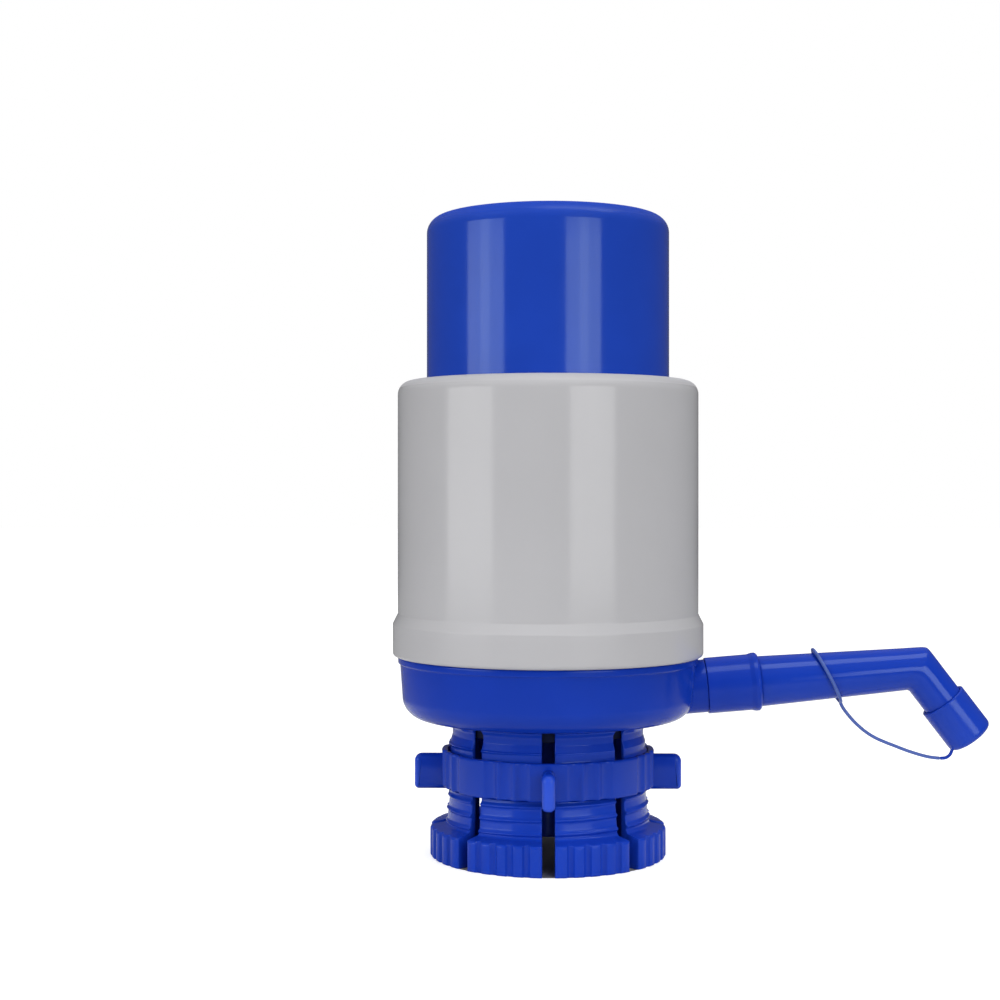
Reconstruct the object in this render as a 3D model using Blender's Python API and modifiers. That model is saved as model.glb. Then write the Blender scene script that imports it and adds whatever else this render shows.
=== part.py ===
"""Hand pump for a large water bottle: button, bellows, body, base, bottle collet, lock ring and spout.

Lengths are metres, +Z is up. The origin lies on the pump's axis, in the plane of the collet's feet.
The spout leaves the base along +X. Heights (names ending in _Z) are measured from the feet.
"""

import math

import bmesh
import bpy
from mathutils import Matrix, Vector

# Clearances and facets shared by every piece
TOUCH_GAP = 0.0003
SLIDE_GAP = 0.0005
OVERRUN = 0.001
MERGE_DISTANCE = 0.000001
SHARP_ANGLE = math.radians(35.0)
LARGE_STEPS = 40
MEDIUM_STEPS = 24
SMALL_STEPS = 16
HOLE_STEPS = 8
ARC_STEPS = 3

# White body shell: a plain sleeve with a rounded shoulder and a thicker band at its foot
BODY_HEIGHT = 0.0818
BODY_RADIUS = 0.0450
BODY_WALL = 0.0022
BODY_SHOULDER_FILLET = 0.0055
BODY_INNER_FILLET = 0.0008
BAND_STEP = 0.0015
BAND_HEIGHT = 0.0094
BAND_SLOPE_HEIGHT = 0.0030
BAND_FOOT_FILLET = 0.0008
SNAP_HEIGHT = 0.0045
SNAP_DEPTH = 0.0004
SNAP_WIDTH = 0.0016

# Blue button: a deep cup that slides in the body, kept in by the flange on its skirt
BUTTON_RISE = 0.0492
BUTTON_SETBACK = 0.0087
BUTTON_WALL = 0.0022
BUTTON_EDGE_FILLET = 0.0050
BUTTON_EDGE_STEPS = 4
BUTTON_INNER_CHAMFER = 0.0016
BUTTON_FLANGE_THICKNESS = 0.0025
BUTTON_RIB_COUNT = 4
BUTTON_RIB_THICKNESS = 0.0018
BUTTON_RIB_DEPTH = 0.0060
BUTTON_RIB_START = 0.0090

# Bellows: a folded rubber sleeve, open at both ends, between the two valve plates
BELLOWS_CLEARANCE = 0.0029
BELLOWS_FOLD_DEPTH = 0.0054
BELLOWS_WALL = 0.0012
BELLOWS_FOLDS = 8
BELLOWS_HEM_SETBACK = 0.0002
BELLOWS_HEM_THICKNESS = 0.0016
BELLOWS_FOOT_THICKNESS = 0.0016

# Plates that carry the two valves
TOP_PLATE_OVERHANG = 0.0003
TOP_PLATE_THICKNESS = 0.0024
TOP_PLATE_SPIGOT_DEPTH = 0.0030
TOP_PLATE_SPIGOT_WALL = 0.0016
VALVE_PLATE_THICKNESS = 0.0024
VALVE_PLATE_RIM_WALL = 0.0016
VALVE_PLATE_RIM_HEIGHT = 0.0050
AIR_HOLE_COUNT = 6
AIR_HOLE_RADIUS = 0.0013
AIR_HOLE_CIRCLE = 0.0055
CLAMP_RING_THICKNESS = 0.0028
CLAMP_RING_GAP = 0.0010

# Mushroom valves, one in each plate
VALVE_STEM_RADIUS = 0.0013
VALVE_DISC_RADIUS = 0.0090
VALVE_DISC_EDGE = 0.0007
VALVE_DISC_THICKNESS = 0.0014
VALVE_KNOB_RADIUS = 0.0022
VALVE_KNOB_HEIGHT = 0.0016
VALVE_LIFT = 0.0012

# Blue base bowl: an upstand inside the body, a thin rim under it, a round bowl and its water channel
UPSTAND_WALL = 0.0018
UPSTAND_HEIGHT = 0.0066
RIM_SETBACK = 0.0001
RIM_HEIGHT = 0.0020
RIM_OVERHANG = 0.0006
RIM_COVER = 0.00124
BOWL_DRAFT = 0.0007
BOWL_LOW_HEIGHT = 0.0073
BOWL_FILLET = 0.0065
BOWL_FILLET_SWEEP = math.radians(75.0)
BOWL_NECK_MARGIN = 0.0012
BOWL_FLOOR = 0.0023
BOWL_WALL = 0.0024
SHELF_WIDTH = 0.0017
SHELF_HEIGHT = 0.0020
WATER_BORE_RADIUS = 0.0040
DUCT_WALL = 0.0022
DUCT_AXIS_RISE = 0.005996
HUB_WALL = 0.0025
HUB_COVER = 0.0011
VENT_COUNT = 6
VENT_RADIUS = 0.0018
VENT_CIRCLE = 0.0140

# Stub for the dip tube, plugged into the hub from below
STUB_WALL = 0.0014
STUB_TIP_Z = 0.0060
STUB_TIP_CHAMFER = 0.0008
STUB_SPIGOT_WALL = 0.0017
STUB_SPIGOT_HEIGHT = 0.0027
STUB_FLANGE_OVERHANG = 0.0018
STUB_FLANGE_THICKNESS = 0.0020
TUBE_SOCKET_RADIUS = 0.0058
TUBE_SOCKET_DROP = 0.0062

# Gasket on the bottle's mouth
GASKET_WIDTH = 0.0075
GASKET_THICKNESS = 0.0030

# Collet that grips the bottle's neck: eight fingers with a flared root, a taper and scalloped feet
FINGER_COUNT = 8
SLOT_WIDTH = 0.0037
COLLET_HEIGHT = 0.0399
NECK_BORE_RADIUS = 0.0278
FINGER_TOP_FLARE = 0.0020
FINGER_TOP_FLARE_HEIGHT = 0.0016
FINGER_ROOT_WALL = 0.0008
FINGER_ROOT_DROP = 0.0037
FINGER_WALL = 0.0014
FINGER_WALL_DROP = 0.0057
TAPER_TOP_DROP = 0.0194
TAPER_FOOT_RISE = 0.0030
TAPER_FOOT_WALL = 0.0025
FOOT_WALL = 0.0075
FOOT_HEIGHT = 0.0090
FOOT_SHOULDER_SETBACK = 0.0015
FOOT_CHAMFER = 0.0006
SCALLOPS_PER_FINGER = 4
SCALLOP_PITCH = math.radians(8.1)
SCALLOP_RADIUS = 0.0016
SCALLOP_DEPTH = 0.0009
SCALLOP_STEPS = 8

# Lock ring that squeezes the collet
LOCK_RING_START = 0.0001
LOCK_RING_HEIGHT = 0.0110
LOCK_RING_WALL = 0.0023
LOCK_RING_CHAMFER = 0.0004
WING_COUNT = 4
WING_REACH = 0.0082
WING_THICKNESS = 0.0039
WING_DROP = 0.0013
WING_HEIGHT = 0.0106
WING_TOP_FILLET = 0.0030
WING_FOOT_FILLET = 0.0010
WING_EDGE_ROUND = 0.0011
FLUTES_PER_SIDE = 3
FLUTE_ROUND = 0.0055
FLUTE_DEPTH = 0.0005
FLUTE_STEPS = 16
FLUTE_PITCH = math.radians(9.0)
FLUTE_START = math.radians(13.5)

# Spout: boss and nozzle on the base, coupling, O-ring, bent tube, cap and tether
SPOUT_RISE = math.radians(4.9)
BOSS_REACH = 0.0038
BOSS_SETBACK = 0.00045
NOZZLE_WALL = 0.0019
NOZZLE_LENGTH = 0.0060
COUPLING_LENGTH = 0.0156
COUPLING_WALL = 0.00155
COUPLING_BEAD = 0.00035
COUPLING_BEAD_WIDTH = 0.0022
COUPLING_BORE_STEP = 0.0009
COUPLING_MOUTH_CHAMFER = 0.0006
SPIGOT_GROOVE_START = 0.0035
O_RING_ROUND = 0.0006
O_RING_SIDES = 6
TUBE_ROOT_STEP = 0.0007
TUBE_ROOT_CHAMFER = 0.0005
TUBE_ROOT_WALL = 0.0018
TUBE_TAPER = 0.0012
TUBE_ELBOW_WALL = 0.0015
BORE_FLARE_LENGTH = 0.0030
SPOUT_REACH = 0.0632
LEG_DROP = math.radians(52.5)
LEG_SETBACK = 0.0002
LEG_TO_CAP_TIP = 0.0262
CAP_LENGTH = 0.0141
CAP_WALL = 0.0007
CAP_END_THICKNESS = 0.0016
CAP_EDGE_FILLET = 0.0016
TETHER_RADIUS = 0.0005
# How far before the elbow the strap's loop lies, at the tube's top and at its foot
TETHER_LOOP_TOP = 0.0312
TETHER_LOOP_FOOT = 0.0231
TETHER_LOOP_POINTS = 18
# The strand's route from the loop to the cap, as (X, Z) steps from the elbow chosen by hand
TETHER_ROUTE = ((-0.0221, -0.01218), (-0.0192, -0.01578), (-0.0159, -0.01878), (-0.0128, -0.02078),
                (-0.0097, -0.02218), (-0.0066, -0.02338), (-0.0035, -0.02458), (0.0002, -0.02578),
                (0.0034, -0.02658))
# The strap's short root on the cap's edge: shares of its rise past the edge and of its reach
TETHER_ROOT_RISE = 0.00095
TETHER_ROOT_REACH = 0.0048
TETHER_ROOT_SHARES = ((0.0, 1.0), (1.0, 0.67), (1.0, 0.33), (0.0, 0.0))
TETHER_STEPS = 2

# Collet, gasket and lock ring: their places and radii follow from the bottle's neck
FINGER_PITCH = 2.0 * math.pi / FINGER_COUNT
FINGER_TOP_Z = COLLET_HEIGHT
FINGER_TOP_RADIUS = NECK_BORE_RADIUS + FINGER_TOP_FLARE
FINGER_ROOT_RADIUS = NECK_BORE_RADIUS + FINGER_ROOT_WALL
FINGER_ROOT_Z = FINGER_TOP_Z - FINGER_ROOT_DROP
FINGER_WALL_RADIUS = NECK_BORE_RADIUS + FINGER_WALL
FINGER_WALL_TOP_Z = FINGER_TOP_Z - FINGER_WALL_DROP
FINGER_HINGE_RADIUS = (NECK_BORE_RADIUS + FINGER_ROOT_RADIUS) / 2.0
TAPER_TOP_Z = FINGER_TOP_Z - TAPER_TOP_DROP
TAPER_FOOT_Z = FOOT_HEIGHT + TAPER_FOOT_RISE
TAPER_FOOT_RADIUS = NECK_BORE_RADIUS + TAPER_FOOT_WALL
FOOT_RADIUS = NECK_BORE_RADIUS + FOOT_WALL
FOOT_SHOULDER_RADIUS = FOOT_RADIUS - FOOT_SHOULDER_SETBACK
LOCK_RING_Z = TAPER_TOP_Z + LOCK_RING_START
LOCK_RING_BORE_RADIUS = FINGER_WALL_RADIUS + TOUCH_GAP
LOCK_RING_RADIUS = LOCK_RING_BORE_RADIUS + LOCK_RING_WALL
WING_TIP_RADIUS = LOCK_RING_RADIUS + WING_REACH
BOWL_UNDERSIDE_Z = FINGER_TOP_Z + TOUCH_GAP
BOWL_NECK_RADIUS = FINGER_TOP_RADIUS + BOWL_NECK_MARGIN
GASKET_RADIUS = NECK_BORE_RADIUS - TOUCH_GAP
GASKET_INNER_RADIUS = GASKET_RADIUS - GASKET_WIDTH
GASKET_TOP_Z = BOWL_UNDERSIDE_Z - TOUCH_GAP

# Bowl, stub and spout: they follow from the body's radius and the water bore
RIM_RADIUS = BODY_RADIUS - RIM_SETBACK
BOWL_TOP_RADIUS = RIM_RADIUS - RIM_OVERHANG
BOWL_LOW_RADIUS = BOWL_TOP_RADIUS - BOWL_DRAFT
BOWL_LOW_Z = BOWL_UNDERSIDE_Z + BOWL_LOW_HEIGHT
BOWL_INNER_RADIUS = BOWL_LOW_RADIUS - BOWL_WALL
BOWL_FLOOR_Z = BOWL_UNDERSIDE_Z + BOWL_FLOOR
STUB_SPIGOT_RADIUS = WATER_BORE_RADIUS + STUB_SPIGOT_WALL
STUB_BORE_RADIUS = STUB_SPIGOT_RADIUS + TOUCH_GAP
STUB_RADIUS = TUBE_SOCKET_RADIUS + STUB_WALL
STUB_FLANGE_RADIUS = STUB_RADIUS + STUB_FLANGE_OVERHANG
STUB_TOP_Z = BOWL_UNDERSIDE_Z + STUB_SPIGOT_HEIGHT
STUB_FLANGE_TOP_Z = BOWL_UNDERSIDE_Z - TOUCH_GAP
TUBE_SOCKET_TOP_Z = BOWL_UNDERSIDE_Z - TUBE_SOCKET_DROP
DUCT_RADIUS = WATER_BORE_RADIUS + DUCT_WALL
HUB_RADIUS = STUB_BORE_RADIUS + HUB_WALL
BOSS_END_X = BOWL_LOW_RADIUS + BOSS_REACH
DUCT_START_Z = BOWL_UNDERSIDE_Z + DUCT_AXIS_RISE
BOSS_END_Z = DUCT_START_Z + BOSS_END_X * math.tan(SPOUT_RISE)
HUB_TOP_Z = DUCT_START_Z + DUCT_RADIUS + HUB_COVER
NOZZLE_RADIUS = WATER_BORE_RADIUS + NOZZLE_WALL
COUPLING_BORE_RADIUS = NOZZLE_RADIUS + COUPLING_BORE_STEP
COUPLING_RADIUS = COUPLING_BORE_RADIUS + COUPLING_WALL
COUPLING_START = TOUCH_GAP
COUPLING_END = COUPLING_START + COUPLING_LENGTH
BOSS_RADIUS = COUPLING_RADIUS - BOSS_SETBACK
RIM_TOP_Z = BOSS_END_Z + BOSS_RADIUS + RIM_COVER
SPIGOT_START = NOZZLE_LENGTH + 2.0 * TOUCH_GAP
SPIGOT_RADIUS = COUPLING_BORE_RADIUS - TOUCH_GAP
GROOVE_START = SPIGOT_START + SPIGOT_GROOVE_START
GROOVE_WIDTH = 2.0 * O_RING_ROUND + 2.0 * TOUCH_GAP
GROOVE_RADIUS = COUPLING_BORE_RADIUS - 2.0 * O_RING_ROUND - 2.0 * TOUCH_GAP
TUBE_START = COUPLING_END + TOUCH_GAP
TUBE_ROOT_RADIUS = COUPLING_BORE_RADIUS + TUBE_ROOT_STEP
TUBE_ELBOW_RADIUS = TUBE_ROOT_RADIUS - TUBE_TAPER
TUBE_BORE_ROOT_RADIUS = TUBE_ROOT_RADIUS - TUBE_ROOT_WALL
TUBE_BORE_ELBOW_RADIUS = TUBE_ELBOW_RADIUS - TUBE_ELBOW_WALL
ELBOW_LENGTH = SPOUT_REACH / math.cos(SPOUT_RISE)
LEG_RADIUS = TUBE_ELBOW_RADIUS - LEG_SETBACK
LEG_LENGTH = LEG_TO_CAP_TIP - CAP_END_THICKNESS - SLIDE_GAP
CAP_START = LEG_TO_CAP_TIP - CAP_LENGTH
CAP_BORE_RADIUS = LEG_RADIUS + TOUCH_GAP
CAP_RADIUS = CAP_BORE_RADIUS + CAP_WALL

# Body, button, bellows and plates: they follow from the body's radius and the bowl's rim
BODY_FOOT_Z = RIM_TOP_Z + TOUCH_GAP
BODY_TOP_Z = BODY_FOOT_Z + BODY_HEIGHT
BODY_UNDER_TOP_Z = BODY_TOP_Z - BODY_WALL
BODY_INNER_RADIUS = BODY_RADIUS - BODY_WALL
BAND_RADIUS = BODY_RADIUS + BAND_STEP
SNAP_Z = BODY_FOOT_Z + SNAP_HEIGHT
BUTTON_TOP_Z = BODY_TOP_Z + BUTTON_RISE
BUTTON_RADIUS = BODY_RADIUS - BUTTON_SETBACK
BUTTON_INNER_RADIUS = BUTTON_RADIUS - BUTTON_WALL
BUTTON_CEILING_Z = BUTTON_TOP_Z - BUTTON_WALL
BUTTON_FLANGE_RADIUS = BODY_INNER_RADIUS - BODY_INNER_FILLET
UPSTAND_RADIUS = BODY_INNER_RADIUS - TOUCH_GAP
UPSTAND_INNER_RADIUS = UPSTAND_RADIUS - UPSTAND_WALL
UPSTAND_TOP_Z = RIM_TOP_Z + UPSTAND_HEIGHT
SHELF_INNER_RADIUS = UPSTAND_INNER_RADIUS - SHELF_WIDTH
VALVE_PLATE_RADIUS = UPSTAND_INNER_RADIUS - TOUCH_GAP
VALVE_PLATE_Z = RIM_TOP_Z + TOUCH_GAP
VALVE_PLATE_TOP_Z = VALVE_PLATE_Z + VALVE_PLATE_THICKNESS
VALVE_PLATE_RIM_INNER = VALVE_PLATE_RADIUS - VALVE_PLATE_RIM_WALL
BELLOWS_CREST_RADIUS = BUTTON_INNER_RADIUS - BELLOWS_CLEARANCE
BELLOWS_ROOT_RADIUS = BELLOWS_CREST_RADIUS - BELLOWS_FOLD_DEPTH
BELLOWS_MOUTH_RADIUS = BELLOWS_ROOT_RADIUS - BELLOWS_WALL
BELLOWS_HEM_RADIUS = BELLOWS_CREST_RADIUS - BELLOWS_HEM_SETBACK
BELLOWS_FOOT_RADIUS = VALVE_PLATE_RIM_INNER - TOUCH_GAP
BELLOWS_FOOT_Z = VALVE_PLATE_TOP_Z + TOUCH_GAP
BELLOWS_FOOT_TOP_Z = BELLOWS_FOOT_Z + BELLOWS_FOOT_THICKNESS
CLAMP_RING_Z = BELLOWS_FOOT_TOP_Z + TOUCH_GAP
TOP_PLATE_RADIUS = BELLOWS_CREST_RADIUS + TOP_PLATE_OVERHANG
TOP_PLATE_TOP_Z = BUTTON_CEILING_Z - BUTTON_RIB_DEPTH - TOUCH_GAP
TOP_PLATE_Z = TOP_PLATE_TOP_Z - TOP_PLATE_THICKNESS
BELLOWS_TOP_Z = TOP_PLATE_Z - TOUCH_GAP
BELLOWS_HEM_Z = BELLOWS_TOP_Z - BELLOWS_HEM_THICKNESS
VALVE_BORE_RADIUS = VALVE_STEM_RADIUS + TOUCH_GAP

# Colours as linear red, green and blue
BLUE = (0.018, 0.058, 0.415)
DEEP_BLUE = (0.010, 0.036, 0.335)
WARM_WHITE = (0.62, 0.62, 0.63)
PALE_RUBBER = (0.35, 0.36, 0.38)
DARK_RUBBER = (0.030, 0.032, 0.040)
INNER_WHITE = (0.55, 0.56, 0.58)


def clear_scene():
    for leftover in list(bpy.data.objects):
        bpy.data.objects.remove(leftover, do_unlink=True)


def new_collection(name):
    collection = bpy.data.collections.new(name)
    bpy.context.scene.collection.children.link(collection)
    return collection


def plastic(piece, colour, roughness):
    """Gives a piece its own material in the colour and roughness of its moulding."""
    material = bpy.data.materials.new(piece.name)
    material.use_nodes = True
    shader = material.node_tree.nodes["Principled BSDF"]
    shader.inputs["Base Color"].default_value = (*colour, 1.0)
    shader.inputs["Roughness"].default_value = roughness
    shader.inputs["Metallic"].default_value = 0.0
    piece.data.materials.clear()
    piece.data.materials.append(material)


def arc(centre_radius, centre_z, radius, start, end, steps=ARC_STEPS):
    """Points of a round stretch of a profile, from one angle to another, both ends included."""
    points = []
    for step in range(steps + 1):
        angle = start + (end - start) * step / steps
        points.append((centre_radius + radius * math.cos(angle), centre_z + radius * math.sin(angle)))
    return points


def as_mesh(source):
    """Replaces a curve, or an object with modifiers, by the welded mesh that it evaluates to."""
    bpy.context.view_layer.update()
    evaluated = source.evaluated_get(bpy.context.evaluated_depsgraph_get())
    mesh = bpy.data.meshes.new_from_object(evaluated)
    welded = bmesh.new()
    welded.from_mesh(mesh)
    bmesh.ops.remove_doubles(welded, verts=welded.verts, dist=MERGE_DISTANCE)
    welded.to_mesh(mesh)
    welded.free()
    mesh.shade_smooth()
    mesh.set_sharp_from_angle(angle=SHARP_ANGLE)
    name = source.name
    place = source.matrix_world.copy()
    home = source.users_collection[0]
    bpy.data.objects.remove(source, do_unlink=True)
    piece = bpy.data.objects.new(name, mesh)
    piece.matrix_world = place
    home.objects.link(piece)
    return piece


def turned(name, profile, steps, home):
    """Turns a profile of (radius, height) points about Z; its outer side runs from top to bottom."""
    shape = bmesh.new()
    corners = [shape.verts.new((radius, 0.0, height)) for radius, height in profile]
    for first, second in zip(corners, corners[1:]):
        shape.edges.new((first, second))
    if profile[0][0] > 0.0:
        shape.edges.new((corners[-1], corners[0]))
    mesh = bpy.data.meshes.new(name)
    shape.to_mesh(mesh)
    shape.free()
    piece = bpy.data.objects.new(name, mesh)
    home.objects.link(piece)
    turn = piece.modifiers.new("turn", "SCREW")
    turn.steps = steps
    turn.render_steps = steps
    turn.use_merge_vertices = True
    turn.merge_threshold = MERGE_DISTANCE
    return as_mesh(piece)


def rods(name, radius, low, high, places, steps, home):
    """Upright round rods, one at each (X, Y) place, in one mesh."""
    shape = bmesh.new()
    for place_x, place_y in places:
        middle = Matrix.Translation((place_x, place_y, (low + high) / 2.0))
        bmesh.ops.create_cone(shape, cap_ends=True, segments=steps, radius1=radius, radius2=radius,
                              depth=high - low, matrix=middle)
    mesh = bpy.data.meshes.new(name)
    shape.to_mesh(mesh)
    shape.free()
    piece = bpy.data.objects.new(name, mesh)
    home.objects.link(piece)
    return piece


def around(circle_radius, angles):
    return [(circle_radius * math.cos(angle), circle_radius * math.sin(angle)) for angle in angles]


def evenly(count, start=0.0):
    return [start + 2.0 * math.pi * number / count for number in range(count)]


def plate(name, outline, thickness, home):
    """A flat closed outline in its own XY plane, given an equal thickness above and below it."""
    curve = bpy.data.curves.new(name, "CURVE")
    curve.dimensions = "2D"
    curve.fill_mode = "BOTH"
    curve.extrude = thickness / 2.0
    spline = curve.splines.new("POLY")
    spline.points.add(len(outline) - 1)
    for point, (across, along) in zip(spline.points, outline):
        point.co = (across, along, 0.0, 1.0)
    spline.use_cyclic_u = True
    flat = bpy.data.objects.new(name, curve)
    home.objects.link(flat)
    return as_mesh(flat)


def strand(name, points, radius, resolution, closed, home):
    """A round strand along computed points, with filled ends unless it is a loop."""
    curve = bpy.data.curves.new(name, "CURVE")
    curve.dimensions = "3D"
    curve.bevel_depth = radius
    curve.bevel_resolution = resolution
    curve.use_fill_caps = not closed
    spline = curve.splines.new("POLY")
    spline.points.add(len(points) - 1)
    for point, place in zip(spline.points, points):
        point.co = (*place, 1.0)
    spline.use_cyclic_u = closed
    line = bpy.data.objects.new(name, curve)
    home.objects.link(line)
    return as_mesh(line)


def combine(target, operation, tool):
    """Adds, cuts or keeps what one closed mesh shares with another, and hides the tool."""
    step = target.modifiers.new(tool.name, "BOOLEAN")
    step.operation = operation
    step.solver = "EXACT"
    step.object = tool
    tool.hide_render = True
    tool.display_type = "WIRE"


def put(piece, place, tilt):
    """Stands a piece's own Z axis at a place, tilted from upright towards +X."""
    piece.matrix_world = Matrix.Translation(place) @ Matrix.Rotation(tilt, 4, "Y")


def spout_point(distance):
    """The point at a distance along the spout's axis from the end of the boss."""
    return Vector((BOSS_END_X + distance * math.cos(SPOUT_RISE), 0.0,
                   BOSS_END_Z + distance * math.sin(SPOUT_RISE)))


def leg_point(distance):
    """The point at a distance down the spout's leg from the elbow."""
    return spout_point(ELBOW_LENGTH) + distance * Vector((math.cos(LEG_DROP), 0.0, -math.sin(LEG_DROP)))


def leg_side():
    """The direction square to the leg, towards the pump and down."""
    return Vector((-math.sin(LEG_DROP), 0.0, -math.cos(LEG_DROP)))


def make_body_shell(parts):
    band_top = BODY_FOOT_Z + BAND_HEIGHT
    opening = BUTTON_RADIUS + SLIDE_GAP
    profile = [(opening, BODY_TOP_Z)]
    profile += arc(BODY_RADIUS - BODY_SHOULDER_FILLET, BODY_TOP_Z - BODY_SHOULDER_FILLET,
                   BODY_SHOULDER_FILLET, math.pi / 2.0, 0.0)
    profile += [(BODY_RADIUS, band_top + BAND_SLOPE_HEIGHT), (BAND_RADIUS, band_top)]
    profile += arc(BAND_RADIUS - BAND_FOOT_FILLET, BODY_FOOT_Z + BAND_FOOT_FILLET, BAND_FOOT_FILLET,
                   0.0, -math.pi / 2.0, 2)
    profile += [(BODY_INNER_RADIUS, BODY_FOOT_Z), (BODY_INNER_RADIUS, SNAP_Z - SNAP_WIDTH / 2.0),
                (BODY_INNER_RADIUS + SNAP_DEPTH, SNAP_Z),
                (BODY_INNER_RADIUS, SNAP_Z + SNAP_WIDTH / 2.0)]
    profile += arc(BODY_INNER_RADIUS - BODY_INNER_FILLET, BODY_UNDER_TOP_Z - BODY_INNER_FILLET,
                   BODY_INNER_FILLET, 0.0, math.pi / 2.0, 2)
    profile += [(opening, BODY_UNDER_TOP_Z)]
    shell = turned("body_shell", profile, LARGE_STEPS, parts)
    plastic(shell, WARM_WHITE, 0.35)


def make_button(parts, cutters):
    flange_top = BODY_UNDER_TOP_Z - TOUCH_GAP
    flange_foot = flange_top - BUTTON_FLANGE_THICKNESS
    profile = [(0.0, BUTTON_TOP_Z)]
    profile += arc(BUTTON_RADIUS - BUTTON_EDGE_FILLET, BUTTON_TOP_Z - BUTTON_EDGE_FILLET,
                   BUTTON_EDGE_FILLET, math.pi / 2.0, 0.0, BUTTON_EDGE_STEPS)
    profile += [(BUTTON_RADIUS, flange_top), (BUTTON_FLANGE_RADIUS, flange_top),
                (BUTTON_FLANGE_RADIUS, flange_foot), (BUTTON_INNER_RADIUS, flange_foot),
                (BUTTON_INNER_RADIUS, BUTTON_CEILING_Z - BUTTON_INNER_CHAMFER),
                (BUTTON_INNER_RADIUS - BUTTON_INNER_CHAMFER, BUTTON_CEILING_Z), (0.0, BUTTON_CEILING_Z)]
    button = turned("button_cap", profile, LARGE_STEPS, parts)
    rib_length = BUTTON_INNER_RADIUS + BUTTON_WALL / 4.0 - BUTTON_RIB_START
    rib_height = BUTTON_RIB_DEPTH + BUTTON_WALL / 4.0
    ribs = bmesh.new()
    for angle in evenly(BUTTON_RIB_COUNT, math.pi / BUTTON_RIB_COUNT):
        middle = Matrix.Translation((BUTTON_RIB_START + rib_length / 2.0, 0.0,
                                     BUTTON_CEILING_Z - BUTTON_RIB_DEPTH + rib_height / 2.0))
        size = Matrix.Diagonal((rib_length, BUTTON_RIB_THICKNESS, rib_height, 1.0))
        bmesh.ops.create_cube(ribs, size=1.0, matrix=Matrix.Rotation(angle, 4, "Z") @ middle @ size)
    mesh = bpy.data.meshes.new("button_ribs")
    ribs.to_mesh(mesh)
    ribs.free()
    tool = bpy.data.objects.new("button_ribs", mesh)
    cutters.objects.link(tool)
    combine(button, "UNION", tool)
    plastic(button, BLUE, 0.22)


def make_bellows(parts):
    """The folds are V-shaped, and the inner side follows the outer one at the wall's thickness."""
    pitch = (BELLOWS_HEM_Z - BELLOWS_FOOT_TOP_Z) / BELLOWS_FOLDS
    outer = [(BELLOWS_HEM_RADIUS, BELLOWS_TOP_Z), (BELLOWS_HEM_RADIUS, BELLOWS_HEM_Z)]
    inner = [(BELLOWS_MOUTH_RADIUS, BELLOWS_FOOT_Z)]
    for fold in range(BELLOWS_FOLDS):
        outer.append((BELLOWS_ROOT_RADIUS, BELLOWS_HEM_Z - pitch * fold))
        outer.append((BELLOWS_CREST_RADIUS, BELLOWS_HEM_Z - pitch * (fold + 0.5)))
        inner.append((BELLOWS_MOUTH_RADIUS, BELLOWS_FOOT_TOP_Z + pitch * fold))
        inner.append((BELLOWS_CREST_RADIUS - BELLOWS_WALL, BELLOWS_FOOT_TOP_Z + pitch * (fold + 0.5)))
    outer += [(BELLOWS_ROOT_RADIUS, BELLOWS_FOOT_TOP_Z), (BELLOWS_FOOT_RADIUS, BELLOWS_FOOT_TOP_Z),
              (BELLOWS_FOOT_RADIUS, BELLOWS_FOOT_Z)]
    inner += [(BELLOWS_MOUTH_RADIUS, BELLOWS_HEM_Z), (BELLOWS_MOUTH_RADIUS, BELLOWS_TOP_Z)]
    bellows = turned("bellows", outer + inner, MEDIUM_STEPS, parts)
    plastic(bellows, PALE_RUBBER, 0.55)


def pierce_for_air(piece, low, high, cutters):
    places = around(AIR_HOLE_CIRCLE, evenly(AIR_HOLE_COUNT))
    holes = rods(piece.name + "_air_holes", AIR_HOLE_RADIUS, low - OVERRUN, high + OVERRUN,
                 places, HOLE_STEPS, cutters)
    combine(piece, "DIFFERENCE", holes)


def make_top_plate(parts, cutters):
    spigot = BELLOWS_MOUTH_RADIUS - TOUCH_GAP
    spigot_foot = TOP_PLATE_Z - TOP_PLATE_SPIGOT_DEPTH
    profile = [(VALVE_BORE_RADIUS, TOP_PLATE_TOP_Z), (TOP_PLATE_RADIUS, TOP_PLATE_TOP_Z),
               (TOP_PLATE_RADIUS, TOP_PLATE_Z), (spigot, TOP_PLATE_Z), (spigot, spigot_foot),
               (spigot - TOP_PLATE_SPIGOT_WALL, spigot_foot),
               (spigot - TOP_PLATE_SPIGOT_WALL, TOP_PLATE_Z), (VALVE_BORE_RADIUS, TOP_PLATE_Z)]
    top_plate = turned("bellows_top_plate", profile, MEDIUM_STEPS, parts)
    pierce_for_air(top_plate, TOP_PLATE_Z, TOP_PLATE_TOP_Z, cutters)
    plastic(top_plate, INNER_WHITE, 0.4)


def make_valve_plate(parts, cutters):
    rim_top = VALVE_PLATE_TOP_Z + VALVE_PLATE_RIM_HEIGHT
    profile = [(VALVE_BORE_RADIUS, VALVE_PLATE_TOP_Z), (VALVE_PLATE_RIM_INNER, VALVE_PLATE_TOP_Z),
               (VALVE_PLATE_RIM_INNER, rim_top), (VALVE_PLATE_RADIUS, rim_top),
               (VALVE_PLATE_RADIUS, VALVE_PLATE_Z), (VALVE_BORE_RADIUS, VALVE_PLATE_Z)]
    valve_plate = turned("valve_plate", profile, LARGE_STEPS, parts)
    pierce_for_air(valve_plate, VALVE_PLATE_Z, VALVE_PLATE_TOP_Z, cutters)
    plastic(valve_plate, INNER_WHITE, 0.4)


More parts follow.
